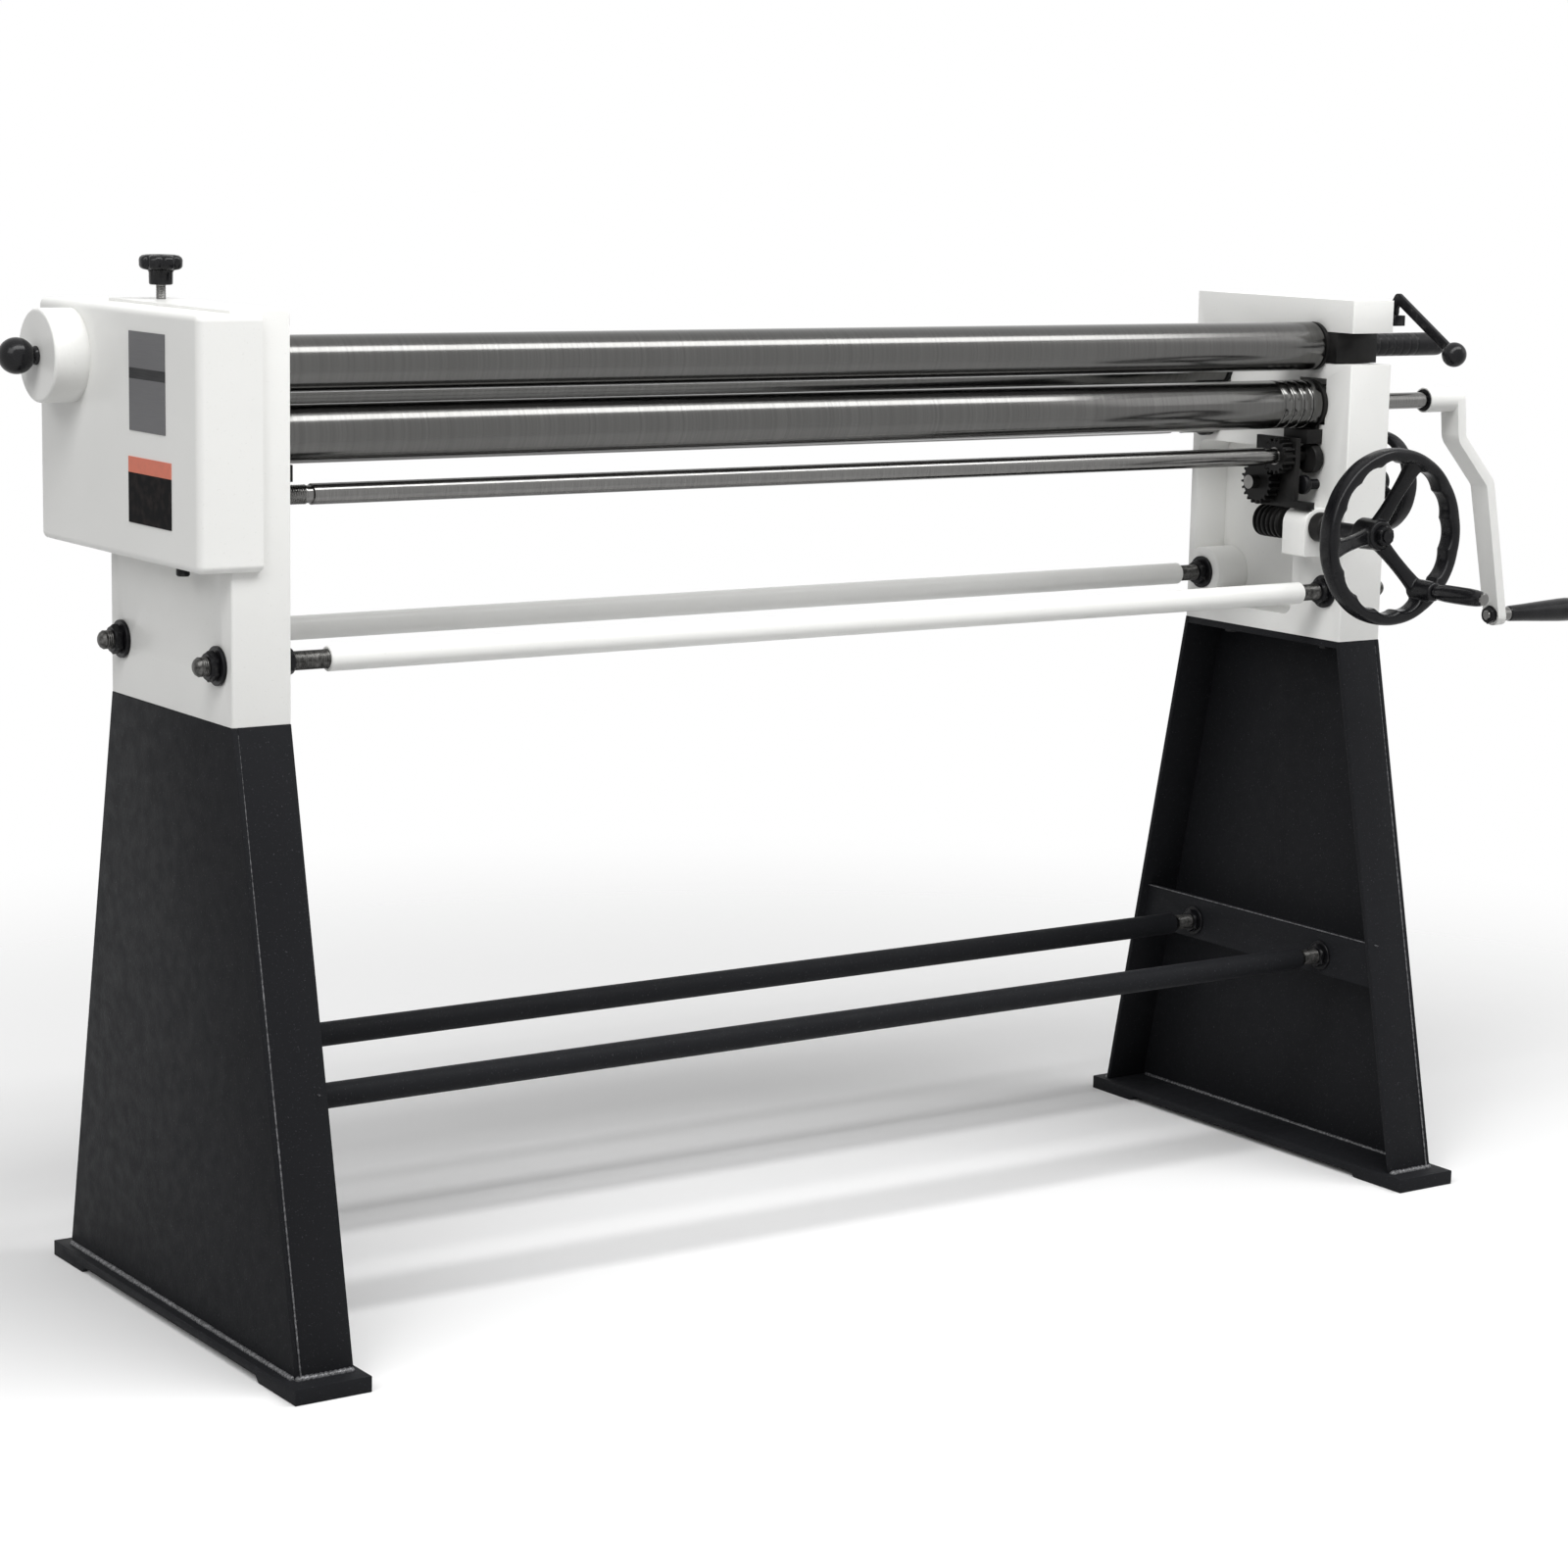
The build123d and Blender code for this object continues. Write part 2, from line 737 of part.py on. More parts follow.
def make_frame_rods():
    """Two tubes between the housings, each on a stud that passes through both housings."""
    with BuildPart() as tubes:
        for rod_y in (tie_front_y, tie_back_y):
            bar_x(left.x(-tie_left_bare), right.x(-tie_right_bare), at_y(rod_y), tie_z, tie_tube_radius)
            bar_x(left.x(-tie_left_bare), right.x(-tie_right_bare), at_y(rod_y), tie_z,
                  tie_stud_radius + running_fit, Mode.SUBTRACT)
    save(tubes, "frame_tie_tubes")

    stud_end = housing_thick + tie_washer_thick + tie_nut_thick + tie_stud_out - tie_dome
    with BuildPart() as studs:
        for rod_y in (tie_front_y, tie_back_y):
            profile = [(left.x(stud_end + tie_dome), 0),
                       (left.x(stud_end + tie_dome), tie_stud_radius - tie_dome),
                       (left.x(stud_end), tie_stud_radius), (right.x(stud_end), tie_stud_radius),
                       (right.x(stud_end + tie_dome), tie_stud_radius - tie_dome),
                       (right.x(stud_end + tie_dome), 0)]
            turned_x(profile, at_y(rod_y), tie_z)
    save(studs, "frame_tie_studs")

    with BuildPart() as nuts:
        for side in (left, right):
            for rod_y in (tie_front_y, tie_back_y):
                hole = tie_stud_radius + running_fit
                for face, away in ((0, -1), (housing_thick, 1)):
                    seat = face + away * tie_washer_thick
                    washer_low, washer_high = side.span(face, seat)
                    with BuildSketch(facing_x(washer_low)) as washer:
                        with Locations((at_y(rod_y), tie_z)):
                            Circle(tie_washer_radius)
                            Circle(hole, mode=Mode.SUBTRACT)
                    extrude(washer.sketch, amount=washer_high - washer_low)
                    nut_low, nut_high = side.span(seat, seat + away * tie_nut_thick)
                    hexagon_x(nut_low, nut_high, at_y(rod_y), tie_z, tie_nut_radius, hole)
    save(nuts, "frame_rod_nuts")


# Gear cover and what is on it

def make_gear_cover():
    """Box that wraps the left housing's outer half, with a hollow round boss."""
    inner = cover_outer - cover_wall
    screw_x = left.x((housing_thick + cover_outer) / 2)
    screw_y = at_y(housing_depth * cover_screw_share)
    with BuildPart() as cover:
        block((left.x(cover_outer), at_y(-cover_front_proud), cover_bottom_z),
              (left.x(cover_wrap), at_y(cover_back), cover_top_z))
        outer_edges = cover.edges().group_by(Axis.X)[0] + cover.edges().filter_by(Axis.X)
        fillet(outer_edges, cover_round)
        bar_x(left.x(cover_outer + boss_length), left.x(inner), at_y(boss_y), boss_z, boss_radius)
        fillet(cover.edges().filter_by(GeomType.CIRCLE).group_by(Axis.X)[0], boss_round)
        block((left.x(inner), at_y(-cover_front_proud + cover_wall), cover_bottom_z + cover_wall),
              (left.x(housing_thick), at_y(cover_back - cover_wall), cover_top_z - cover_wall), Mode.SUBTRACT)
        block((left.x(inner), at_y(housing_depth), cover_bottom_z + cover_wall),
              (left.x(cover_wrap + cover_wall), at_y(cover_back - cover_wall), cover_top_z - cover_wall),
              Mode.SUBTRACT)
        block((left.x(housing_thick), at_y(0), cover_bottom_z - cut_overrun),
              (left.x(cover_wrap - cut_overrun), at_y(housing_depth), cover_top_z + cut_overrun),
              Mode.SUBTRACT)
        bar_x(left.x(cover_outer + boss_length - boss_wall), left.x(inner), at_y(boss_y), boss_z,
              boss_bore_radius, Mode.SUBTRACT)
        bar_x(left.x(cover_outer + boss_length + cut_overrun), left.x(inner), at_y(boss_y), boss_z,
              pull_rod_radius + running_fit, Mode.SUBTRACT)
        bar_z(cover_bottom_z - cut_overrun, cover_bottom_z + cut_overrun + cover_wall, screw_x, screw_y,
              cover_screw_radius + running_fit, Mode.SUBTRACT)
    save(cover, "gear_cover")

    with BuildPart() as screw:
        bar_z(cover_bottom_z - cover_screw_head, cover_bottom_z, screw_x, screw_y, cover_screw_head_radius)
        bar_z(cover_bottom_z, cover_bottom_z + cover_wall, screw_x, screw_y, cover_screw_radius)
    save(screw, "cover_screw")


def make_plates():
    """Two plain plates on the cover's outer face."""
    plates = (("data_plate", data_plate_front, data_plate_width, data_plate_bottom, data_plate_height),
              ("lower_plate", lower_plate_front, lower_plate_width, lower_plate_bottom, lower_plate_height))
    for name, near, width, bottom, height in plates:
        with BuildPart() as plate:
            block((left.x(cover_outer + plate_thick), at_y(near), bottom),
                  (left.x(cover_outer), at_y(near + width), bottom + height))
        save(plate, name)


def make_pull_knob():
    """Rod with an inner disc, and the ball on its outer end."""
    rod_start = cover_outer - pull_rod_inset
    rod_end = cover_outer + boss_length + pull_stem_length
    with BuildPart() as rod:
        bar_x(left.x(rod_end), left.x(rod_start), at_y(boss_y), boss_z, pull_rod_radius)
        bar_x(left.x(rod_start + pull_disc_thick), left.x(rod_start), at_y(boss_y), boss_z,
              pull_disc_radius)
    save(rod, "pull_rod")

    with BuildPart() as knob:
        centre = left.x(rod_end + ball_knob_radius - ball_knob_sink)
        tip = centre - ball_knob_radius
        stem = centre + math.sqrt(ball_knob_radius ** 2 - pull_stem_radius ** 2)
        stem_end = left.x(cover_outer + boss_length + face_gap)
        with BuildSketch(turning_plane(at_y(boss_y), boss_z)) as section:
            with BuildLine():
                ThreePointArc((tip, 0), (centre, ball_knob_radius), (stem, pull_stem_radius))
                Polyline((stem, pull_stem_radius), (stem_end, pull_stem_radius), (stem_end, pull_rod_radius),
                         (left.x(rod_end), pull_rod_radius), (left.x(rod_end), 0), (tip, 0))
            make_face()
        revolve(section.sketch, axis=Axis((0, at_y(boss_y), boss_z), (1, 0, 0)))
    save(knob, "pull_ball_knob")


# Rolls

def make_upper_roll():
    """Upper roll: barrel, right-hand journal with its long extension, left journal and dog."""
    end = housing_thick + dog_length - housing_thick / 2 - ball_half_length
    journal_end = housing_thick / 2 + ball_half_length + dog_end_gap
    with BuildPart() as roll:
        dome_start = upper_extension_end - extension_dome
        profile = [(left.x(journal_end), 0), (left.x(journal_end), upper_journal_radius),
                   (left.x(-roll_end_gap), upper_journal_radius), (left.x(-roll_end_gap), roll_radius),
                   (right.x(-roll_end_gap), roll_radius), (right.x(-roll_end_gap), upper_journal_radius),
                   (right.x(dome_start), upper_journal_radius),
                   (right.x(upper_extension_end), upper_journal_radius - extension_dome),
                   (right.x(upper_extension_end), 0)]
        turned_x(profile, at_y(roll_y), upper_roll_z)
        dog_end = left.x(journal_end + dog_length)
        block((dog_end, at_y(roll_y - dog_half_thick), upper_roll_z - dog_half_height),
              (left.x(journal_end), at_y(roll_y + dog_half_thick), upper_roll_z + dog_half_height))
    save(roll, "upper_roll")


def make_lower_roll():
    """Lower roll: barrel with wire grooves, journals, gear seat and crank shaft in one piece."""
    gear_far = left.x(housing_thick + gear_stand_off + gear_width)
    crank_end = right.x(crank_boss_start + crank_boss_length)
    barrel_left = left.x(-roll_end_gap)
    barrel_right = right.x(-roll_end_gap)
    groove_x = barrel_right - first_groove_inset - wire_groove_pitch * (len(wire_groove_radii) - 1)
    plane = turning_plane(at_y(roll_y), lower_roll_z)
    with BuildPart() as roll:
        with BuildSketch(plane) as section:
            with BuildLine():
                Polyline((gear_far, 0), (gear_far, journal_radius), (barrel_left, journal_radius),
                         (barrel_left, roll_radius), (groove_x - wire_groove_radii[0], roll_radius))
                for groove_radius in wire_groove_radii:
                    if groove_radius != wire_groove_radii[0]:
                        Line(last_end, (groove_x - groove_radius, roll_radius))
                    last_end = (groove_x + groove_radius, roll_radius)
                    ThreePointArc((groove_x - groove_radius, roll_radius),
                                  (groove_x, roll_radius - groove_radius), last_end)
                    groove_x += wire_groove_pitch
                Polyline(last_end, (barrel_right, roll_radius), (barrel_right, journal_radius),
                         (right.x(housing_thick), journal_radius),
                         (right.x(housing_thick), crank_shaft_radius),
                         (crank_end, crank_shaft_radius), (crank_end, 0), (gear_far, 0))
            make_face()
        revolve(section.sketch, axis=Axis((0, at_y(roll_y), lower_roll_z), (1, 0, 0)))
    save(roll, "lower_roll")


def make_rear_roll():
    """Rear roll: barrel and two plain journals."""
    end = housing_thick - cut_overrun
    with BuildPart() as roll:
        profile = [(left.x(end), 0), (left.x(end), journal_radius),
                   (left.x(-roll_end_gap), journal_radius), (left.x(-roll_end_gap), roll_radius),
                   (right.x(-roll_end_gap), roll_radius), (right.x(-roll_end_gap), journal_radius),
                   (right.x(end), journal_radius), (right.x(end), 0)]
        turned_x(profile, at_y(rear_roll_y), rear_roll_z)
    save(roll, "rear_roll")


# Bearing blocks

def make_lift_block(side, label, y, z, half_height, cam_top):
    """Block in a window, with a round inner flange and a foot that sits on a cam."""
    with BuildPart() as bearing:
        x_low, x_high = side.span(-face_gap, housing_thick - face_gap)
        block((x_low, at_y(y - block_half_width), z - half_height),
              (x_high, at_y(y + block_half_width), z + half_height))
        flange_low, flange_high = side.span(-face_gap - block_flange_thick, -face_gap)
        bar_x(flange_low, flange_high, at_y(y), z, roll_radius)
        foot_bottom = cam_top + cam_clearance
        foot_top = z - roll_radius - 2 * face_gap
        block((flange_low, at_y(y - foot_web_half_width), foot_bottom),
              (flange_high, at_y(y + foot_web_half_width), z))
        foot_low, foot_high = side.span(-foot_reach, -face_gap)
        block((foot_low, at_y(y - foot_half_width), foot_bottom),
              (foot_high, at_y(y + foot_half_width), foot_top))
        bore_low, bore_high = side.span(-foot_reach - cut_overrun, housing_thick + cut_overrun)
        bar_x(bore_low, bore_high, at_y(y), z, journal_radius + running_fit, Mode.SUBTRACT)
        if label == "rear_block_left":
            bar_z(z + half_height - stud_engage, z + half_height + cut_overrun, side.x(stud_inset),
                  at_y(y), stud_radius + running_fit, Mode.SUBTRACT)
    save(bearing, label)


def make_upper_blocks():
    """Block in the open slot, with a round inner flange, and the ball bush with its seat."""
    with BuildPart() as upper_block:
        x_low, x_high = right.span(-2 * face_gap, housing_thick - 2 * face_gap)
        block((x_low, at_y(upper_block_front), upper_roll_z - slot_below + slot_clearance),
              (x_high, at_y(upper_block_back), upper_roll_z + slot_above - slot_clearance))
        bar_x(right.x(-2 * face_gap - block_flange_thick), x_low, at_y(roll_y), upper_roll_z, roll_radius)
        bar_x(right.x(-foot_reach), right.x(upper_extension_end), at_y(roll_y), upper_roll_z,
              upper_journal_radius + running_fit, Mode.SUBTRACT)
    save(upper_block, "upper_block")

    pivot_x = left.x(housing_thick / 2)
    bush_low = pivot_x - ball_half_length
    bush_high = pivot_x + ball_half_length
    with BuildPart() as ball_bush:
        with Locations((pivot_x, at_y(roll_y), upper_roll_z)):
            Sphere(ball_radius)
        block((bush_low, at_y(roll_y - ball_radius), upper_roll_z - ball_radius),
              (bush_high, at_y(roll_y + ball_radius), upper_roll_z + ball_radius), Mode.INTERSECT)
        bar_x(bush_low, bush_high, at_y(roll_y), upper_roll_z, upper_journal_radius + running_fit,
              Mode.SUBTRACT)
    save(ball_bush, "ball_bush")

    with BuildPart() as ball_seat:
        hollow = ball_radius + ball_gap
        lip = math.sqrt(hollow ** 2 - ball_half_length ** 2)
        with BuildSketch(turning_plane(at_y(roll_y), upper_roll_z)) as section:
            with BuildLine():
                ThreePointArc((bush_low, lip), (pivot_x, hollow), (bush_high, lip))
                Polyline((bush_high, lip), (bush_high, seat_radius), (bush_low, seat_radius),
                         (bush_low, lip))
            make_face()
        revolve(section.sketch, axis=Axis((0, at_y(roll_y), upper_roll_z), (1, 0, 0)))
    save(ball_seat, "ball_seat")


# Roll gears

def make_roll_gears():
    """Meshing pair with long teeth, so that the roll opening can change."""
    near = housing_thick + gear_stand_off
    far = near + gear_width
    with BuildPart() as lower_gear:
        toothed_x(left.x(far), left.x(near), at_y(roll_y), lower_roll_z, gear_teeth, gear_tip_radius,
                  gear_root_radius, gear_tip_width, gear_base_width, 90, journal_radius)
    save(lower_gear, "lower_gear")

    with BuildPart() as upper_gear:
        half_pitch_deg = 180 / gear_teeth
        toothed_x(left.x(far), left.x(near), at_y(roll_y), upper_roll_z, gear_teeth, gear_tip_radius,
                  gear_root_radius, gear_tip_width, gear_base_width, half_pitch_deg - 90, dog_socket_radius)
        bar_x(left.x(far), left.x(far - gear_width / 4), at_y(roll_y), upper_roll_z, gear_root_radius)
        hub_end = left.x(housing_thick - gear_hub_depth)
        bar_x(left.x(near), hub_end, at_y(roll_y), upper_roll_z, gear_hub_radius)
        bar_x(left.x(near), hub_end, at_y(roll_y), upper_roll_z, dog_socket_radius, Mode.SUBTRACT)
    save(upper_gear, "upper_gear")


# Cross shafts and the lift gearing

def make_cross_shaft(label, y, z, offset, rest_deg, toward, gear_clear):
    """Shaft across the machine with a cam at each end; toward is -1 for cams that point forward."""
    cam_y = at_y(y) + toward * offset * math.cos(math.radians(rest_deg))
    cam_z = z + offset * math.sin(math.radians(rest_deg))
    with BuildPart() as shaft:
        end = shaft_bearing_depth - face_gap
        neck_left = left.x(-left_neck_start)
        body_left = left.x(-left_neck_end)
        body_right = right.x(-right_neck_start)
        neck_right = right.x(-gear_clear)
        profile = [(left.x(end), 0), (left.x(end), shaft_end_radius), (neck_left, shaft_end_radius),
                   (neck_left, shaft_neck_radius), (body_left, shaft_neck_radius), (body_left, shaft_radius),
                   (body_right, shaft_radius), (body_right, shaft_neck_radius),
                   (neck_right, shaft_neck_radius), (neck_right, shaft_end_radius),
                   (right.x(end), shaft_end_radius), (right.x(end), 0)]
        turned_x(profile, at_y(y), z)
        for side in (left, right):
            x_low, x_high = side.span(-cam_inset - cam_width, -cam_inset)
            bar_x(x_low, x_high, cam_y, cam_z, cam_radius)
    save(shaft, label)


def make_lift_gears():
    """Gear on the front cross shaft, and the stub shaft with its gear and worm wheel."""
    low, high = right.span(-lift_gear_start, -lift_gear_start + lift_gear_width)
    pitch = 2 * math.pi * shaft_gear_pitch / shaft_gear_teeth
    tip_width = pitch * lift_tip_share
    base_width = pitch * lift_base_share
    with BuildPart() as shaft_gear:
        toothed_x(low, high, at_y(roll_y), front_shaft_z, shaft_gear_teeth,
                  shaft_gear_pitch + lift_tooth_height, shaft_gear_pitch - lift_tooth_root, tip_width,
                  base_width, lift_line_deg, shaft_end_radius + running_fit)
    save(shaft_gear, "lift_shaft_gear")

    with BuildPart() as stub_gear:
        first = lift_line_deg + 180 + 180 / stub_gear_teeth
        toothed_x(low, high, at_y(stub_y), stub_z, stub_gear_teeth, stub_gear_pitch + lift_tooth_height,
                  stub_gear_pitch - lift_tooth_root, tip_width, base_width, first,
                  stub_shaft_radius + running_fit)
    save(stub_gear, "lift_stub_gear")

    with BuildPart() as stub_shaft:
        pitch = 2 * math.pi * wheel_gear_radius / wheel_gear_teeth
        toothed_x(wheel_x - wheel_gear_width / 2, wheel_x + wheel_gear_width / 2, at_y(stub_y), stub_z,
                  wheel_gear_teeth, wheel_gear_radius, wheel_gear_root, pitch * lift_tip_share,
                  pitch * lift_base_share, 0, stub_shaft_radius)
        bar_x(right.x(-stub_shaft_out), right.x(housing_thick - face_gap), at_y(stub_y), stub_z,
              stub_shaft_radius)
    save(stub_shaft, "worm_wheel_shaft")

    with BuildPart() as bracket:
        low, high = right.span(-bracket_start, -bracket_start + bracket_thick)
        block((low, at_y(bracket_front), lug_top_z), (high, at_y(bracket_back), bracket_top_z))
        block((low, at_y(lug_front), lug_top_z),
              (low + bracket_foot, at_y(lug_back - bracket_foot), lug_top_z + bracket_foot_thick))
        for hole_y, hole_z, hole_radius in ((roll_y, front_shaft_z, shaft_end_radius),
                                            (stub_y, stub_z, stub_shaft_radius)):
            bar_x(low - cut_overrun, high + cut_overrun, at_y(hole_y), hole_z, hole_radius + running_fit,
                  Mode.SUBTRACT)
    save(bracket, "lift_bracket")


# Front handwheel and worm shaft

def wheel_face(radius, rim, scallops, scallop_radius):
    """Rim outline with finger scallops cut from its inner edge, drawn in the open sketch."""
    Circle(radius)
    Circle(radius - rim, mode=Mode.SUBTRACT)
    scallop_depth_share = 0.2
    with PolarLocations(radius - rim - scallop_radius * (1 - scallop_depth_share), scallops):
        Circle(scallop_radius, mode=Mode.SUBTRACT)


def make_handwheel():
    """Dished wheel whose three spokes slant forward from the hub to the rim, on the worm shaft."""
    rim_back = wheel_rim_y + wheel_depth / 2
    hub_middle = (wheel_hub_front + wheel_hub_back) / 2
    spoke_reach = wheel_radius - wheel_rim / 2
    half_depth = wheel_spoke_depth / 2
    with BuildPart() as wheel:
        with BuildSketch(facing_front(at_y(rim_back))) as rim:
            with Locations((wheel_x, wheel_z)):
                wheel_face(wheel_radius, wheel_rim, wheel_scallops, wheel_scallop_radius)
        extrude(rim.sketch, amount=wheel_depth)
        bar_y(at_y(boss_front), at_y(rim_back), handle_x, handle_z, wheel_boss_radius)
        bar_y(at_y(wheel_hub_front), at_y(wheel_hub_back), wheel_x, wheel_z, wheel_hub_radius)
        for number in range(spoke_count):
            turn = math.radians(wheel_first_spoke_deg + 360 * number / spoke_count)
            side_view = Plane(origin=(wheel_x, at_y(0), wheel_z), x_dir=(math.cos(turn), 0, math.sin(turn)),
                              z_dir=(-math.sin(turn), 0, math.cos(turn)))
            with BuildSketch(side_view) as spoke:
                with BuildLine():
                    Polyline((0, hub_middle - half_depth), (spoke_reach, wheel_rim_y - half_depth),
                             (spoke_reach, wheel_rim_y + half_depth), (0, hub_middle + half_depth),
                             close=True)
                make_face()
            extrude(spoke.sketch, amount=wheel_spoke_width / 2, both=True)
        bar_y(at_y(wheel_hub_front - cut_overrun), at_y(wheel_hub_back + cut_overrun), wheel_x, wheel_z,
              wheel_shaft_radius, Mode.SUBTRACT)
        bar_y(at_y(boss_front - cut_overrun), at_y(rim_back + cut_overrun), handle_x, handle_z,
              handle_pin_radius + running_fit, Mode.SUBTRACT)
    save(wheel, "handwheel")

    with BuildPart() as nut:
        with BuildSketch(facing_front(at_y(wheel_hub_front))) as flats:
            with Locations((wheel_x, wheel_z)):
                RegularPolygon(wheel_nut_radius, 6)
                Circle(wheel_stud_radius, mode=Mode.SUBTRACT)
        extrude(flats.sketch, amount=wheel_nut_thick)
    save(nut, "handwheel_nut")

    with BuildPart() as shaft:
        worm_back = worm_front + worm_length
        bar_y(at_y(wheel_hub_front), at_y(worm_back), wheel_x, wheel_z, wheel_shaft_radius)
        bar_y(at_y(wheel_hub_front - wheel_nut_thick - wheel_stud_out), at_y(wheel_hub_front), wheel_x,
              wheel_z, wheel_stud_radius)
        bar_y(at_y(worm_front), at_y(worm_back), wheel_x, wheel_z, worm_radius)
        ridge = worm_pitch / 2
        for number in range(int(worm_length // worm_pitch)):
            groove = worm_front + worm_pitch * number + ridge
            with BuildSketch(facing_front(at_y(groove + ridge))) as ring:
                with Locations((wheel_x, wheel_z)):
                    Circle(worm_radius)
                    Circle(worm_root_radius, mode=Mode.SUBTRACT)
            extrude(ring.sketch, amount=ridge, mode=Mode.SUBTRACT)
    save(shaft, "worm_shaft")

    with BuildPart() as collar:
        bar_y(at_y(collar_front), at_y(lug_front - face_gap), wheel_x, wheel_z, collar_radius)
        bar_y(at_y(collar_front), at_y(lug_front), wheel_x, wheel_z, wheel_shaft_radius, Mode.SUBTRACT)
    save(collar, "shaft_collar")


def make_handle():
    """Pin fixed in the wheel's rim, with the turning handle on it."""
    rim_back = wheel_rim_y + wheel_depth / 2
    handle_front = rim_back - handle_length
    with BuildPart() as pin:
        bar_y(at_y(handle_front), at_y(rim_back), handle_x, handle_z, handle_pin_radius)
        bar_y(at_y(handle_front - handle_head), at_y(handle_front), handle_x, handle_z, handle_head_radius)
    save(pin, "handle_pin")

    with BuildPart() as handle:
        near = boss_front - face_gap
        far = handle_front + face_gap
        axis_plane = Plane(origin=(handle_x, 0, handle_z), x_dir=(0, -1, 0), z_dir=(1, 0, 0))
        hole = handle_pin_radius + running_fit
        with BuildSketch(axis_plane) as section:
            with BuildLine():
                Polyline((-at_y(near), hole), (-at_y(near), handle_neck_radius),
                         (-at_y(near - handle_radius), handle_radius - handle_shoulder),
                         (-at_y((near + far) / 2), handle_radius),
                         (-at_y(far), handle_neck_radius), (-at_y(far), hole), close=True)
            make_face()
        revolve(section.sketch, axis=Axis((handle_x, 0, handle_z), (0, 1, 0)))
    save(handle, "handwheel_handle")


handle_x = wheel_x + handle_arm * math.cos(math.radians(handle_deg))
handle_z = wheel_z + handle_arm * math.sin(math.radians(handle_deg))
boss_front = wheel_rim_y - wheel_depth / 2 - wheel_boss_out


# Crank

def make_crank():
    """Bent arm with its boss on the crank shaft, the pin with its nut, and the turning grip."""
    z_end = lower_roll_z - crank_length
    grip_start = right.x(crank_end_out) + crank_arm_thick / 2 + grip_stand_off
    nut_high = right.x(crank_end_out) - crank_arm_thick / 2 - crank_spot_depth
    collar_low = right.x(crank_end_out) + crank_arm_thick / 2 - crank_spot_depth
    with BuildPart() as arm:
        with BuildSketch(facing_front(at_y(roll_y))) as bend:
            with BuildLine():
                FilletPolyline((right.x(crank_arm_start), lower_roll_z + crank_top_half_width),
                               (right.x(crank_shoulder_out), lower_roll_z - crank_shoulder_drop),
                               (right.x(crank_elbow_out), lower_roll_z - crank_elbow_drop),
                               (right.x(crank_end_out), z_end - crank_low_half_width),
                               radius=crank_bend_radius)
            trace(line_width=crank_arm_thick)
        extrude(bend.sketch, amount=crank_top_half_width, both=True)
        with BuildSketch(facing_x(right.x(crank_boss_start))) as outline:
            with Locations((at_y(roll_y), lower_roll_z)):
                Circle(crank_top_half_width)
            with Locations((at_y(roll_y), z_end)):
                Circle(crank_low_half_width)
            make_hull()
        extrude(outline.sketch, amount=crank_end_out, mode=Mode.INTERSECT)
        bar_x(right.x(crank_boss_start), right.x(crank_boss_start + crank_boss_length), at_y(roll_y),
              lower_roll_z, crank_boss_radius)
        bar_x(right.x(crank_boss_start - cut_overrun), right.x(crank_boss_start + crank_boss_length),
              at_y(roll_y), lower_roll_z, crank_shaft_radius, Mode.SUBTRACT)
        bar_x(right.x(crank_elbow_out), grip_start, at_y(roll_y), z_end, crank_pin_radius, Mode.SUBTRACT)
        for low, high in ((right.x(crank_elbow_out), nut_high), (collar_low, grip_start)):
            bar_x(low, high, at_y(roll_y), z_end, crank_nut_radius + face_gap, Mode.SUBTRACT)
    save(arm, "crank_arm")

    with BuildPart() as pin:
        bar_x(nut_high - crank_nut_thick - crank_spot_depth, grip_start + grip_length * grip_pin_share,
              at_y(roll_y), z_end, crank_pin_radius)
        bar_x(collar_low, grip_start - face_gap, at_y(roll_y), z_end, crank_collar_radius)
        with BuildSketch(facing_x(nut_high - crank_nut_thick)) as nut:
            with Locations((at_y(roll_y), z_end)):
                RegularPolygon(crank_nut_radius, 6)
        extrude(nut.sketch, amount=crank_nut_thick)
    save(pin, "crank_pin")

    with BuildPart() as grip:
        dome = grip_large_radius / 2
        hole = crank_pin_radius + running_fit
        hole_end = grip_start + grip_length * grip_pin_share + face_gap
        profile = [(grip_start, hole), (grip_start, grip_small_radius),
                   (grip_start + grip_length - dome, grip_large_radius), (grip_start + grip_length, dome),
                   (grip_start + grip_length, 0), (hole_end, 0), (hole_end, hole)]
        turned_x(profile, at_y(roll_y), z_end)
    save(grip, "crank_grip")


# Lock wheel

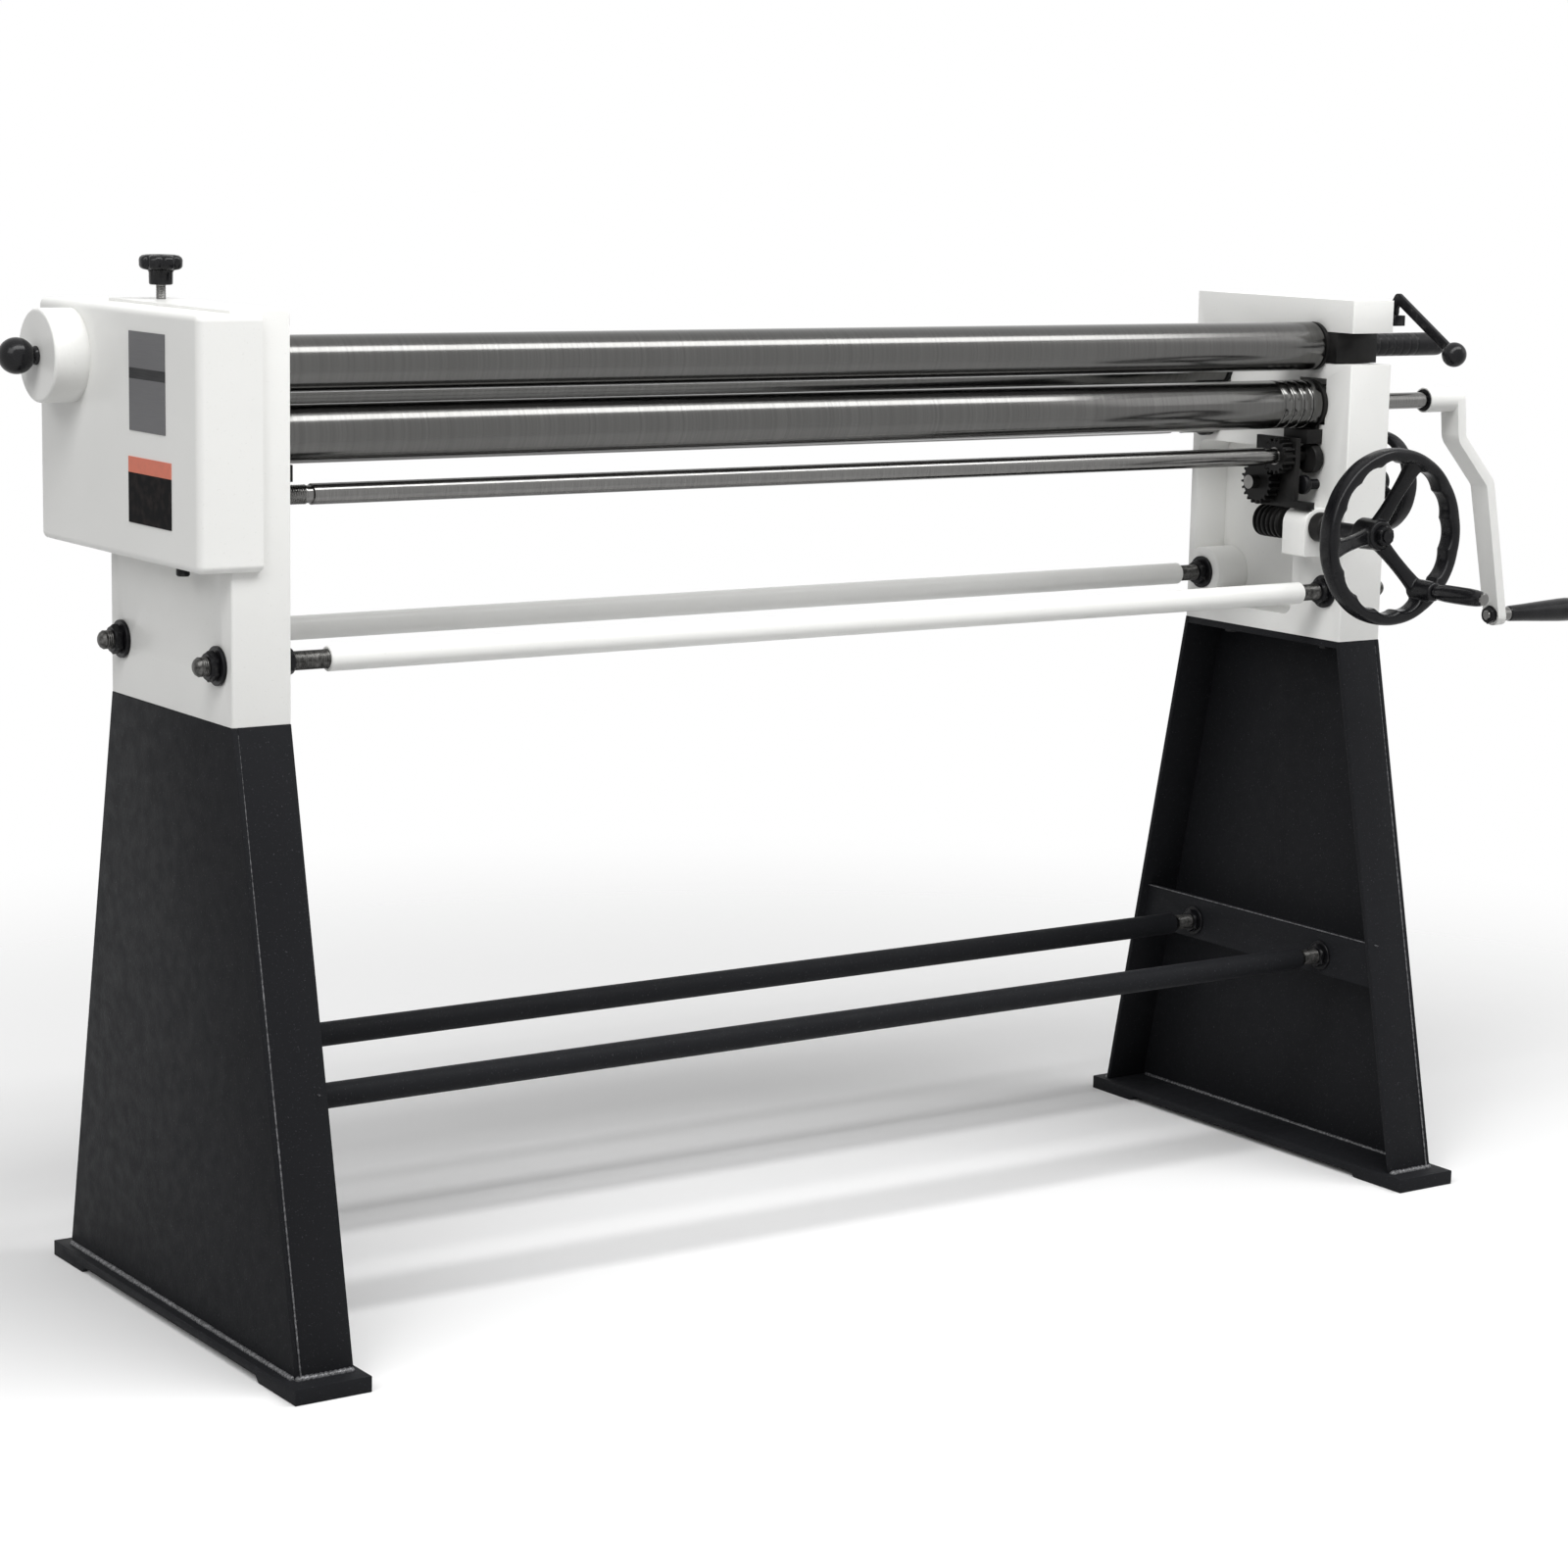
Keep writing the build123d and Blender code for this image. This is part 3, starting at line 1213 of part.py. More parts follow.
def make_lock_wheel():
    """Screw through the right housing with a round inner head, and its outer wheel."""
    wheel_low = right.x(housing_thick + lock_wheel_out)
    wheel_high = wheel_low + lock_wheel_depth
    with BuildPart() as screw:
        bar_x(right.x(-lock_head_out), wheel_high + face_gap, at_y(lock_y), lock_z, lock_screw_radius)
        bar_x(right.x(-lock_head_out), right.x(-lock_head_out + lock_head_thick), at_y(lock_y), lock_z,
              lock_head_radius)
    save(screw, "lock_screw")

    with BuildPart() as wheel:
        with BuildSketch(facing_x(wheel_low)) as rim:
            with Locations((at_y(lock_y), lock_z)):
                wheel_face(lock_wheel_radius, lock_wheel_rim, lock_scallops, lock_scallop_radius)
        extrude(rim.sketch, amount=lock_wheel_depth)
        bar_x(right.x(housing_thick + lock_wheel_out / 2), wheel_high, at_y(lock_y), lock_z, lock_hub_radius)
        with BuildSketch(facing_x(wheel_low)) as spokes:
            with Locations((at_y(lock_y), lock_z)):
                with PolarLocations(0, spoke_count, start_angle=90):
                    Rectangle(lock_wheel_radius - lock_wheel_rim / 2, lock_spoke_width,
                              align=(Align.MIN, Align.CENTER))
        extrude(spokes.sketch, amount=lock_spoke_depth)
        bar_x(right.x(housing_thick), wheel_high + cut_overrun, at_y(lock_y), lock_z, lock_screw_radius,
              Mode.SUBTRACT)
    save(wheel, "lock_wheel")


# Release lever

def make_release_lever():
    """Cranked flat lever on a pin in the right housing, its ball, and the stop block on the housing."""
    arm_low = right.x(housing_thick + lever_out)
    pivot = (at_y(lever_y), lever_pivot_z)
    knee = (at_y(lever_knee_y), lever_knee_z)
    ball = (at_y(lever_ball_y), lever_ball_z)
    with BuildPart() as lever:
        with BuildSketch(facing_x(arm_low)) as eye:
            with Locations(pivot):
                Circle(lever_eye_radius)
        extrude(eye.sketch, amount=lever_thick)
        for tip in (ball, pivot):
            with BuildSketch(facing_x(arm_low)) as bar:
                with Locations(knee, tip):
                    Circle(lever_half_width)
                make_hull()
            extrude(bar.sketch, amount=lever_thick)
        bar_x(right.x(housing_thick - lever_pin_depth + face_gap), arm_low, pivot[0], pivot[1],
              lever_pin_radius)
    save(lever, "release_lever")

    with BuildPart() as knob:
        with Locations((arm_low + lever_thick / 2, ball[0], ball[1])):
            Sphere(lever_ball_radius)
        with BuildSketch(facing_x(arm_low)) as bar:
            with Locations(knee, ball):
                Circle(lever_half_width)
            make_hull()
        extrude(bar.sketch, amount=lever_thick, mode=Mode.SUBTRACT)
    save(knob, "release_lever_ball")

    with BuildPart() as stop:
        block((right.x(housing_thick), at_y(stop_block_y), stop_block_z),
              (right.x(housing_thick + stop_block_out), at_y(stop_block_y + stop_block_size),
               stop_block_z + stop_block_size))
    save(stop, "lever_stop")


# Star knob

def make_star_knob():
    """Stud that lifts the rear roll's left block, and its lobed knob."""
    stud_x = left.x(stud_inset)
    stud_low = rear_roll_z + rear_block_half_height - stud_engage + face_gap
    hub_low = top_z + stud_bare
    with BuildPart() as stud:
        bar_z(stud_low, hub_low + star_hub_height, stud_x, at_y(rear_roll_y), stud_radius)
    save(stud, "star_knob_stud")

    with BuildPart() as knob:
        bar_z(hub_low, hub_low + star_hub_height, stud_x, at_y(rear_roll_y), star_hub_radius)
        with BuildSketch(facing_up(hub_low + star_hub_height)) as lobes:
            with Locations((stud_x, at_y(rear_roll_y))):
                Circle(star_radius)
                with PolarLocations(star_radius + star_notch_radius / 3, star_lobes):
                    Circle(star_notch_radius, mode=Mode.SUBTRACT)
        extrude(lobes.sketch, amount=star_height)
        fillet(knob.edges().group_by(Axis.Z)[-1], star_round)
        bar_z(hub_low - cut_overrun, hub_low + star_hub_height, stud_x, at_y(rear_roll_y), stud_radius,
              Mode.SUBTRACT)
    save(knob, "star_knob")


for end in (left, right):
    make_stand(end)
make_stand_rods()
make_left_housing()
make_right_housing()
make_housing_bolts()
make_frame_rods()
make_gear_cover()
make_plates()
make_pull_knob()
make_upper_roll()
make_lower_roll()
make_rear_roll()
for end in (left, right):
    make_lift_block(end, f"lower_block_{end.name}", roll_y, lower_roll_z, front_block_half_height,
                    front_cam_top)
    make_lift_block(end, f"rear_block_{end.name}", rear_roll_y, rear_roll_z, rear_block_half_height,
                    rear_cam_top)
make_upper_blocks()
make_roll_gears()
make_cross_shaft("front_cross_shaft", roll_y, front_shaft_z, front_cam_offset, front_cam_rest_deg, -1,
                 lift_gear_start)
make_cross_shaft("rear_cross_shaft", rear_roll_y, rear_shaft_z, rear_cam_offset, rear_cam_rest_deg, 1,
                 lift_gear_start)
make_lift_gears()
make_handwheel()
make_handle()
make_crank()
make_lock_wheel()
make_release_lever()
make_star_knob()
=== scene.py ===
import json
from math import copysign, cos, pi, radians, sin

import bmesh
import bpy
from mathutils import Matrix, Vector, noise


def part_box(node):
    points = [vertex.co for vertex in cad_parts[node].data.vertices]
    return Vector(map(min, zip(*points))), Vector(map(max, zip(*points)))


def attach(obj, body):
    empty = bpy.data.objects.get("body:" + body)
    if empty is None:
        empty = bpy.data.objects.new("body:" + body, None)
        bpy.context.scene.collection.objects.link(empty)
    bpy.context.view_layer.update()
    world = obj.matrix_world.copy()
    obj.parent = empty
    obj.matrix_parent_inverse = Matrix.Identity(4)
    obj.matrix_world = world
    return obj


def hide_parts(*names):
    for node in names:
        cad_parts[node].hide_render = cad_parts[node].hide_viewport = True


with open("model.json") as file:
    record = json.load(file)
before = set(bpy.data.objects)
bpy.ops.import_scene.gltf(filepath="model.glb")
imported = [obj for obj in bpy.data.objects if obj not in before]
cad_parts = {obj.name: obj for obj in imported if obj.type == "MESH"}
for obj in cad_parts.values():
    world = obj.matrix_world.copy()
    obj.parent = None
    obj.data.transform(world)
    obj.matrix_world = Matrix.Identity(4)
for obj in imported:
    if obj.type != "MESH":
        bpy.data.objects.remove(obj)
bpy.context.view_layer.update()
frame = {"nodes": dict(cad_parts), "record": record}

nodes = frame["nodes"]
left_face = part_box("left_housing")[1].x
front_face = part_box("left_housing")[0].y
MM = 0.001


def at(x, y, z):
    """Point from distances in mm: from the left housing's inner face, the front face and the floor."""
    return Vector((left_face + x * MM, front_face + y * MM, z * MM))


def add_object(name, data):
    """Links a new object with the given data into the scene."""
    thing = bpy.data.objects.new(name, data)
    bpy.context.scene.collection.objects.link(thing)
    return thing


def mesh_from(name, faces):
    """Turns a bmesh into mesh data and frees it."""
    mesh_data = bpy.data.meshes.new(name)
    faces.to_mesh(mesh_data)
    faces.free()
    return mesh_data


# Node materials

look = {}


def link(source, target):
    target.id_data.links.new(source, target)


def set_inputs(node, inputs):
    """Puts values, or the outputs of other nodes, on a node's inputs."""
    for key, value in inputs.items():
        if isinstance(value, bpy.types.NodeSocket):
            link(value, node.inputs[key])
        else:
            node.inputs[key].default_value = value


def add_node(tree, kind, inputs, **settings):
    """Adds a shader node with its settings and inputs."""
    node = tree.nodes.new("ShaderNode" + kind)
    for key, value in settings.items():
        setattr(node, key, value)
    set_inputs(node, inputs)
    return node


def new_material(name, base, rough, metal=0.0, specular=0.5, coat=0.0):
    """Principled material; returns the material, its node tree and the shader."""
    material = bpy.data.materials.new(name)
    material.use_nodes = True
    tree = material.node_tree
    shader = tree.nodes["Principled BSDF"]
    set_inputs(shader, {"Base Color": (*base, 1), "Roughness": rough, "Metallic": metal,
                        "Specular IOR Level": specular, "Coat Weight": coat, "Coat Roughness": 0.08})
    return material, tree, shader


def new_look(slot, name, base, rough, metal=0.0, specular=0.5, coat=0.0):
    """Adds a slot's material and returns its node tree and shader."""
    look[slot], tree, shader = new_material(name, base, rough, metal, specular, coat)
    return tree, shader


def set_colour(shader, colour):
    link(colour, shader.inputs["Base Color"])


def set_roughness(shader, value, first, last, low=0.3, high=0.7):
    """Roughness between first and last, as a value goes from low to high."""
    link(grey_range(value, low, high, first, last), shader.inputs["Roughness"])


def coordinates(tree, stretch=(1, 1, 1)):
    """The object's own coordinates in metres, stretched along its axes."""
    source = tree.nodes.new("ShaderNodeTexCoord").outputs["Object"]
    return add_node(tree, "Mapping", {"Vector": source, "Scale": stretch}).outputs["Vector"]


def noise_value(tree, scale, stretch=(1, 1, 1), detail=3.0, rough=0.5):
    inputs = {"Vector": coordinates(tree, stretch), "Scale": scale, "Detail": detail, "Roughness": rough}
    return add_node(tree, "TexNoise", inputs).outputs["Fac"]


def cell_value(tree, scale):
    inputs = {"Vector": coordinates(tree), "Scale": scale, "Smoothness": 0.6}
    return add_node(tree, "TexVoronoi", inputs, feature="SMOOTH_F1").outputs["Distance"]


def ramp(value, low, high, first, last):
    """Maps a value between low and high to a colour or grey between first and last."""
    node = add_node(value.id_data, "ValToRGB", {"Fac": value})
    for element, position, colour in zip(node.color_ramp.elements, (low, high), (first, last)):
        element.position = position
        element.color = (*colour, 1)
    return node.outputs["Color"]


def blend_colour(share, first, second):
    """Mix of a colour output with a plain colour by a value output."""
    inputs = {"Factor": share, "A": first, "B": (*second, 1)}
    return add_node(share.id_data, "Mix", inputs, data_type="RGBA").outputs["Result"]


def grey_range(value, low, high, first, last):
    return ramp(value, low, high, (first,) * 3, (last,) * 3)


def bump(shader, layers):
    """Chain of bump layers, each (height output, strength, distance in metres)."""
    inputs = {}
    for height, strength, distance in layers:
        inputs.update({"Height": height, "Strength": strength, "Distance": distance})
        inputs["Normal"] = add_node(shader.id_data, "Bump", inputs).outputs["Normal"]
    link(inputs["Normal"], shader.inputs["Normal"])


def painted_corner_shade(colour, dark, reach, strength):
    """Painted shade: darkens a colour where surfaces meet, by ambient occlusion."""
    occlusion = add_node(colour.id_data, "AmbientOcclusion", {"Distance": reach}, samples=4)
    share = grey_range(occlusion.outputs["AO"], 0.0, 0.75, strength, 0.0)
    return blend_colour(share, colour, dark)


def make_body_paint():
    """Off-white sprayed enamel on castings: orange peel, faint mottling, and painted shade darkening its
    corners.
    """
    tree, shader = new_look("body_paint", "body_enamel", (0.80, 0.80, 0.785), 0.42, specular=0.4, coat=0.1)
    cloud = noise_value(tree, 5.0, detail=5.0)
    colour = ramp(cloud, 0.3, 0.7, (0.785, 0.785, 0.765), (0.82, 0.82, 0.80))
    speck = noise_value(tree, 420.0, detail=1.0)
    dust = grey_range(speck, 0.70, 0.76, 0.0, 0.25)
    colour = blend_colour(dust, colour, (0.62, 0.62, 0.59))
    # Painted shade: the enamel darkens towards a dark grey where surfaces meet.
    set_colour(shader, painted_corner_shade(colour, (0.40, 0.39, 0.36), 0.012, 0.55))
    set_roughness(shader, noise_value(tree, 14.0), 0.32, 0.46)
    bump(shader, [(noise_value(tree, 22.0, detail=4.0), 0.25, 0.0012),
                  (noise_value(tree, 330.0, detail=2.0), 0.22, 0.00025)])


def make_stand_paint():
    """Dark charcoal hammered enamel with fine bright flecks and scuffed high spots."""
    tree, shader = new_look("stand_paint", "stand_enamel", (0.012, 0.0125, 0.014), 0.6, specular=0.06)
    cloud = noise_value(tree, 3.2, detail=4.0)
    colour = ramp(cloud, 0.3, 0.7, (0.0108, 0.0112, 0.0126), (0.0132, 0.0137, 0.0155))
    fleck = noise_value(tree, 520.0, detail=2.0, rough=0.7)
    share = grey_range(fleck, 0.64, 0.76, 0.0, 0.5)
    colour = blend_colour(share, colour, (0.10, 0.10, 0.11))
    set_colour(shader, colour)
    set_roughness(shader, noise_value(tree, 60.0), 0.52, 0.64)
    bump(shader, [(cell_value(tree, 260.0), 0.24, 0.0004),
                  (noise_value(tree, 700.0, detail=2.0), 0.22, 0.00022)])


def make_weld_paint():
    """The stand's enamel over weld metal: lumpier and glossier, with silvery spatter."""
    tree, shader = new_look("weld", "weld_enamel", (0.06, 0.06, 0.065), 0.30, specular=0.6)
    speck = noise_value(tree, 300.0, detail=4.0, rough=0.7)
    set_colour(shader, ramp(speck, 0.42, 0.66, (0.02, 0.021, 0.023), (0.20, 0.20, 0.21)))
    set_roughness(shader, speck, 0.42, 0.25, low=0.4)
    link(grey_range(speck, 0.5, 0.7, 0.0, 0.6), shader.inputs["Metallic"])
    bump(shader, [(speck, 0.6, 0.0008)])


def make_ground_steel():
    """Ground and polished bar: fine grinding lines round the bar, a little uneven in tone."""
    tree, shader = new_look("ground_steel", "ground_steel", (0.115, 0.114, 0.111), 0.17, metal=1.0)
    lines = noise_value(tree, 1.0, stretch=(330, 2, 2), detail=4.0, rough=0.75)
    fine = noise_value(tree, 1.0, stretch=(2400, 3, 3), detail=2.0)
    patch = noise_value(tree, 1.0, stretch=(9, 2, 2), detail=2.0)
    colour = ramp(lines, 0.25, 0.75, (0.092, 0.091, 0.089), (0.140, 0.139, 0.135))
    share = grey_range(patch, 0.35, 0.7, 0.0, 0.3)
    set_colour(shader, blend_colour(share, colour, (0.100, 0.099, 0.096)))
    set_roughness(shader, lines, 0.155, 0.19)
    bump(shader, [(fine, 0.12, 0.000008)])


def make_bright_steel():
    """Turned bright steel with fine tool marks."""
    tree, shader = new_look("bright_steel", "bright_steel", (0.17, 0.168, 0.165), 0.2, metal=1.0)
    marks = noise_value(tree, 1.0, stretch=(1500, 60, 60), detail=3.0)
    set_colour(shader, ramp(marks, 0.3, 0.7, (0.135, 0.133, 0.13), (0.205, 0.202, 0.197)))
    set_roughness(shader, noise_value(tree, 12.0), 0.16, 0.22)
    bump(shader, [(marks, 0.12, 0.000008)])


def make_stud_steel():
    """Plain threaded bar: grey, oily in the roots and rubbed bright on the crests."""
    tree, shader = new_look("stud_steel", "stud_steel", (0.06, 0.059, 0.057), 0.3, metal=1.0)
    wear = noise_value(tree, 210.0, detail=4.0, rough=0.6)
    set_colour(shader, ramp(wear, 0.35, 0.7, (0.035, 0.0345, 0.033), (0.13, 0.128, 0.124)))
    set_roughness(shader, wear, 0.28, 0.46)
    bump(shader, [(wear, 0.2, 0.00015)])


def make_black_steel():
    """Black oxide steel, oily, worn to grey on its high spots."""
    tree, shader = new_look("black_steel", "black_steel", (0.010, 0.010, 0.011), 0.36, 0.1, specular=0.16)
    wear = noise_value(tree, 130.0, detail=5.0, rough=0.65)
    colour = ramp(wear, 0.55, 0.78, (0.006, 0.006, 0.007), (0.045, 0.044, 0.043))
    set_colour(shader, colour)
    set_roughness(shader, noise_value(tree, 70.0), 0.26, 0.44)
    bump(shader, [(wear, 0.2, 0.0002)])


def make_dark_iron():
    """Oiled iron castings and gears: grainy, near black, with greasy patches."""
    tree, shader = new_look("dark_iron", "dark_iron", (0.010, 0.010, 0.010), 0.44, specular=0.12)
    grain = noise_value(tree, 380.0, detail=4.0, rough=0.6)
    patch = noise_value(tree, 26.0, detail=4.0)
    colour = ramp(patch, 0.35, 0.7, (0.005, 0.005, 0.005), (0.017, 0.0165, 0.016))
    set_colour(shader, colour)
    set_roughness(shader, patch, 0.24, 0.52)
    bump(shader, [(grain, 0.35, 0.0003)])


def make_black_casting():
    """Gloss black enamel over a casting's slightly uneven skin."""
    tree, shader = new_look("black_casting", "black_enamel", (0.005, 0.005, 0.006), 0.2, specular=0.17)
    skin = noise_value(tree, 60.0, detail=4.0)
    cloud = noise_value(tree, 25.0, detail=4.0)
    set_colour(shader, ramp(cloud, 0.35, 0.75, (0.004, 0.004, 0.005), (0.011, 0.011, 0.012)))
    set_roughness(shader, skin, 0.16, 0.34)
    bump(shader, [(skin, 0.35, 0.0006), (noise_value(tree, 420.0), 0.12, 0.0002)])


def make_black_plastic():
    """Moulded black thermoset: glossy, with faint flow marks and fine scratches."""
    tree, shader = new_look("black_plastic", "black_plastic", (0.005, 0.005, 0.006), 0.17, specular=0.2)
    flow = noise_value(tree, 45.0, detail=3.0)
    scratch = noise_value(tree, 1.0, stretch=(90, 900, 900), detail=2.0)
    set_colour(shader, ramp(flow, 0.3, 0.7, (0.005, 0.005, 0.006), (0.011, 0.011, 0.012)))
    set_roughness(shader, scratch, 0.15, 0.32, low=0.4)
    bump(shader, [(flow, 0.08, 0.0003), (scratch, 0.06, 0.00008)])


def make_bronze():
    """Plain bearing bronze."""
    tree, shader = new_look("bronze", "bearing_bronze", (0.52, 0.36, 0.17), 0.36, metal=1.0)
    marks = noise_value(tree, 1.0, stretch=(900, 50, 50))
    set_colour(shader, ramp(marks, 0.3, 0.7, (0.42, 0.28, 0.12), (0.60, 0.42, 0.21)))
    bump(shader, [(marks, 0.25, 0.0001)])


def height_share(tree, low, high):
    """0 at height low and 1 at height high, in the object's own coordinates."""
    height = add_node(tree, "SeparateXYZ", {"Vector": coordinates(tree)}).outputs["Z"]
    inputs = {"Value": height, "From Min": low, "From Max": high}
    return add_node(tree, "MapRange", inputs).outputs["Result"]


def banded(share, bands, colours):
    """Hard-edged bands up a plate; bands are the shares at which each next colour starts."""
    node = add_node(share.id_data, "ValToRGB", {"Fac": share})
    elements = node.color_ramp.elements
    node.color_ramp.interpolation = "CONSTANT"
    while len(elements) < len(colours):
        elements.new(0.5)
    for element, position, colour in zip(elements, [0.0] + bands, colours):
        element.position = position
        element.color = (*colour, 1)
    return node.outputs["Color"]


def make_data_plate():
    """Satin silver plate with a plain black band; nothing is written on it."""
    low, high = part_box("data_plate")
    tree, shader = new_look("silver_plate", "data_plate_face", (0.13, 0.13, 0.135), 0.5, 0.2, specular=0.15)
    share = height_share(tree, low.z, high.z)
    silver = (0.145, 0.145, 0.15)
    colour = banded(share, [0.52, 0.63], [silver, (0.006, 0.006, 0.007), silver])
    brushed = noise_value(tree, 1.0, stretch=(40, 40, 1800), detail=3.0)
    shade = grey_range(brushed, 0.3, 0.7, 0.0, 0.28)
    set_colour(shader, blend_colour(shade, colour, (0.09, 0.09, 0.095)))
    bump(shader, [(brushed, 0.15, 0.00005)])


def make_lower_plate():
    """Dark plate with a plain orange band along its top; nothing is written on it."""
    low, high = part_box("lower_plate")
    tree, shader = new_look("dark_plate", "lower_plate_face", (0.004, 0.004, 0.0045), 0.55, specular=0.03)
    share = height_share(tree, low.z, high.z)
    colour = banded(share, [0.76], [(0.003, 0.003, 0.0035), (0.74, 0.24, 0.17)])
    fade = noise_value(tree, 90.0, detail=4.0)
    shade = grey_range(fade, 0.45, 0.8, 0.0, 0.12)
    set_colour(shader, blend_colour(shade, colour, (0.16, 0.12, 0.11)))
    bump(shader, [(fade, 0.1, 0.0001)])


for make in (make_body_paint, make_stand_paint, make_weld_paint, make_ground_steel, make_bright_steel,
             make_black_steel, make_dark_iron, make_black_casting, make_black_plastic, make_bronze,
             make_stud_steel, make_data_plate, make_lower_plate):
    make()
slot_of = {part["node"]: part["material_slot"] for part in frame["record"]["subparts"]}
group_of = {}
for body, members in frame["record"]["behaviour"]["bodies"].items():
    for name in members:
        group_of[name] = body
for name, solid in nodes.items():
    solid.data.materials.clear()
    solid.data.materials.append(look[slot_of[name]])


# Mesh helpers

def shade(mesh_data, crease_deg=32):
    """Smooth faces with sharp edges where the surface turns by more than the crease angle."""
    faces = bmesh.new()
    faces.from_mesh(mesh_data)
    bmesh.ops.recalc_face_normals(faces, faces=faces.faces)
    limit = radians(crease_deg)
    for face in faces.faces:
        face.smooth = True
    for edge in faces.edges:
        edge.smooth = len(edge.link_faces) == 2 and edge.calc_face_angle(0) < limit
    faces.to_mesh(mesh_data)
    faces.free()


def dress(piece, slot, node, finish=None, extra=False):
    """Finishes a piece that rides with a CAD solid and stands for it, or is an extra beside it."""
    piece.data.materials.clear()
    piece.data.materials.append(look[finish or slot])
    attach(piece, group_of[node])
    if not extra:
        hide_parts(node)


def add_piece(name, faces, slot, node, crease_deg=32, finish=None, extra=False):
    """Turns a bmesh into a piece of the scene, in place of a CAD solid or as an extra beside it."""
    bmesh.ops.remove_doubles(faces, verts=faces.verts, dist=1e-6)
    mesh_data = mesh_from(name, faces)
    shade(mesh_data, crease_deg)
    dress(add_object(name, mesh_data), slot, node, finish, extra)


def axis_point(axis, centre, along, across, up):
    """Point at distances in mm along an axis and off it, from a centre."""
    along, across, up = along * MM, across * MM, up * MM
    if axis == "X":
        return Vector((centre.x + along, centre.y + across, centre.z + up))
    if axis == "Y":
        return Vector((centre.x + across, centre.y + along, centre.z + up))
    return Vector((centre.x + across, centre.y + up, centre.z + along))


def join_rings(faces, rings):
    """Adds faces between each ring of vertices and the next."""
    count = len(rings[0])
    for first, second in zip(rings, rings[1:]):
        for step in range(count):
            after = (step + 1) % count
            faces.faces.new((first[step], first[after], second[after], second[step]))


def turn(faces, axis, centre, profile, segments=64, form=None):
    """Adds a turned shape: profile is (distance along, radius) in mm, closed on itself or at the axis."""
    rings = []
    for along, radius in profile:
        ring = []
        for step in range(segments):
            angle = 2 * pi * step / segments
            r = form(along, angle, radius) if form else radius
            place = axis_point(axis, centre, along, r * cos(angle), r * sin(angle))
            ring.append(faces.verts.new(place))
        rings.append(ring)
    join_rings(faces, rings)
    return rings


def turned(name, axis, centres, profile, slot, node, segments=64, form=None, crease_deg=32, finish=None,
           extra=False):
    """Adds a piece of one turned shape, or of several alike at a list of centres."""
    faces = bmesh.new()
    for centre in centres if isinstance(centres, list) else [centres]:
        turn(faces, axis, centre, profile, segments, form)
    add_piece(name, faces, slot, node, crease_deg, finish, extra)


def shifted(start, outline, way=1):
    """An outline placed from a start along the axis, forwards or backwards; sizes in mm."""
    return [(start + way * along, radius) for along, radius in outline]


def bar(start, end, radius, edge, drop=None, hole=0):
    """Outline of a round bar with chamfered ends, in mm; with a hole it is closed on itself as a tube."""
    drop = edge if drop is None else drop
    outline = [(start, hole), (start, radius - drop), (start + edge, radius), (end - edge, radius),
               (end, radius - drop), (end, hole)]
    return outline + outline[:1] if hole else outline


def thread_profile(start, end, radius, pitch):
    """Profile points close enough together to carry a thread."""
    points_per_turn = 6
    count = max(4, int(round(abs(end - start) / pitch * points_per_turn)))
    return [(start + (end - start) * k / count, radius) for k in range(count + 1)]


def thread_form(spans, pitch, depth):
    """Cuts a helical thread into the radius over each (start, end) span."""
    def form(along, angle, radius):
        for start, end in spans:
            if start <= along <= end:
                phase = (along / pitch + angle / (2 * pi)) % 1.0
                fade = min(1.0, (along - start) / pitch, (end - along) / pitch)
                return radius - depth * abs(2 * phase - 1) * max(fade, 0.0)
        return radius
    return form


def hexagon(faces, axis, centre, start, end, radius, hole, chamfer, segments=48):
    """Adds a hexagon nut with chamfered corners and a hole, between two places in mm."""
    low, high = sorted((start, end))
    flat = radius * cos(pi / 6)

    def edge_radius(angle):
        return flat / cos((angle + pi / 6) % (pi / 3) - pi / 6)

    def form(along, angle, r):
        return edge_radius(angle) if r == radius else r

    profile = bar(low, high, radius, chamfer, radius - flat * 0.97, hole)[:-1]
    rings = turn(faces, axis, centre, profile, segments, form)
    join_rings(faces, [rings[-1], rings[0]])


def washer(faces, axis, centre, start, end, radius, hole):
    """Adds a washer with softened edges, between two places in mm."""
    turn(faces, axis, centre, bar(min(start, end), max(start, end), radius, 0.6, hole=hole), 48)


def box_faces(faces, low, high):
    """Adds a closed box between two corners."""
    corners = []
    for x in (low.x, high.x):
        for y in (low.y, high.y):
            for z in (low.z, high.z):
                corners.append(faces.verts.new((x, y, z)))
    for quad in ((0, 1, 3, 2), (4, 6, 7, 5), (0, 4, 5, 1), (2, 3, 7, 6), (0, 2, 6, 4), (1, 5, 7, 3)):
        faces.faces.new([corners[i] for i in quad])


def apply_modifiers(piece):
    """Replaces a piece's mesh by what its modifiers make of it."""
    graph = bpy.context.evaluated_depsgraph_get()
    graph.update()
    result = bpy.data.meshes.new_from_object(piece.evaluated_get(graph))
    old = piece.data
    piece.modifiers.clear()
    piece.data = result
    bpy.data.meshes.remove(old)


def softened(name, width, segments=3, angle_deg=40):
    """A copy of a solid with its sharp edges rounded by real bevels; it stands for that solid."""
    faces = bmesh.new()
    faces.from_mesh(nodes[name].data)
    bmesh.ops.remove_doubles(faces, verts=faces.verts, dist=1e-5)
    bmesh.ops.dissolve_limit(faces, angle_limit=radians(0.6), verts=faces.verts, edges=faces.edges,
                             delimit={"NORMAL"})
    piece = add_object(name + "_dressed", mesh_from(name + "_dressed", faces))
    modifier = piece.modifiers.new("edges", "BEVEL")
    modifier.width = width * MM
    modifier.segments = segments
    modifier.limit_method = "ANGLE"
    modifier.angle_limit = radians(angle_deg)
    modifier.use_clamp_overlap = True
    modifier.miter_outer = "MITER_ARC"
    apply_modifiers(piece)
    shade(piece.data, crease_deg=35)
    dress(piece, slot_of[name], name)


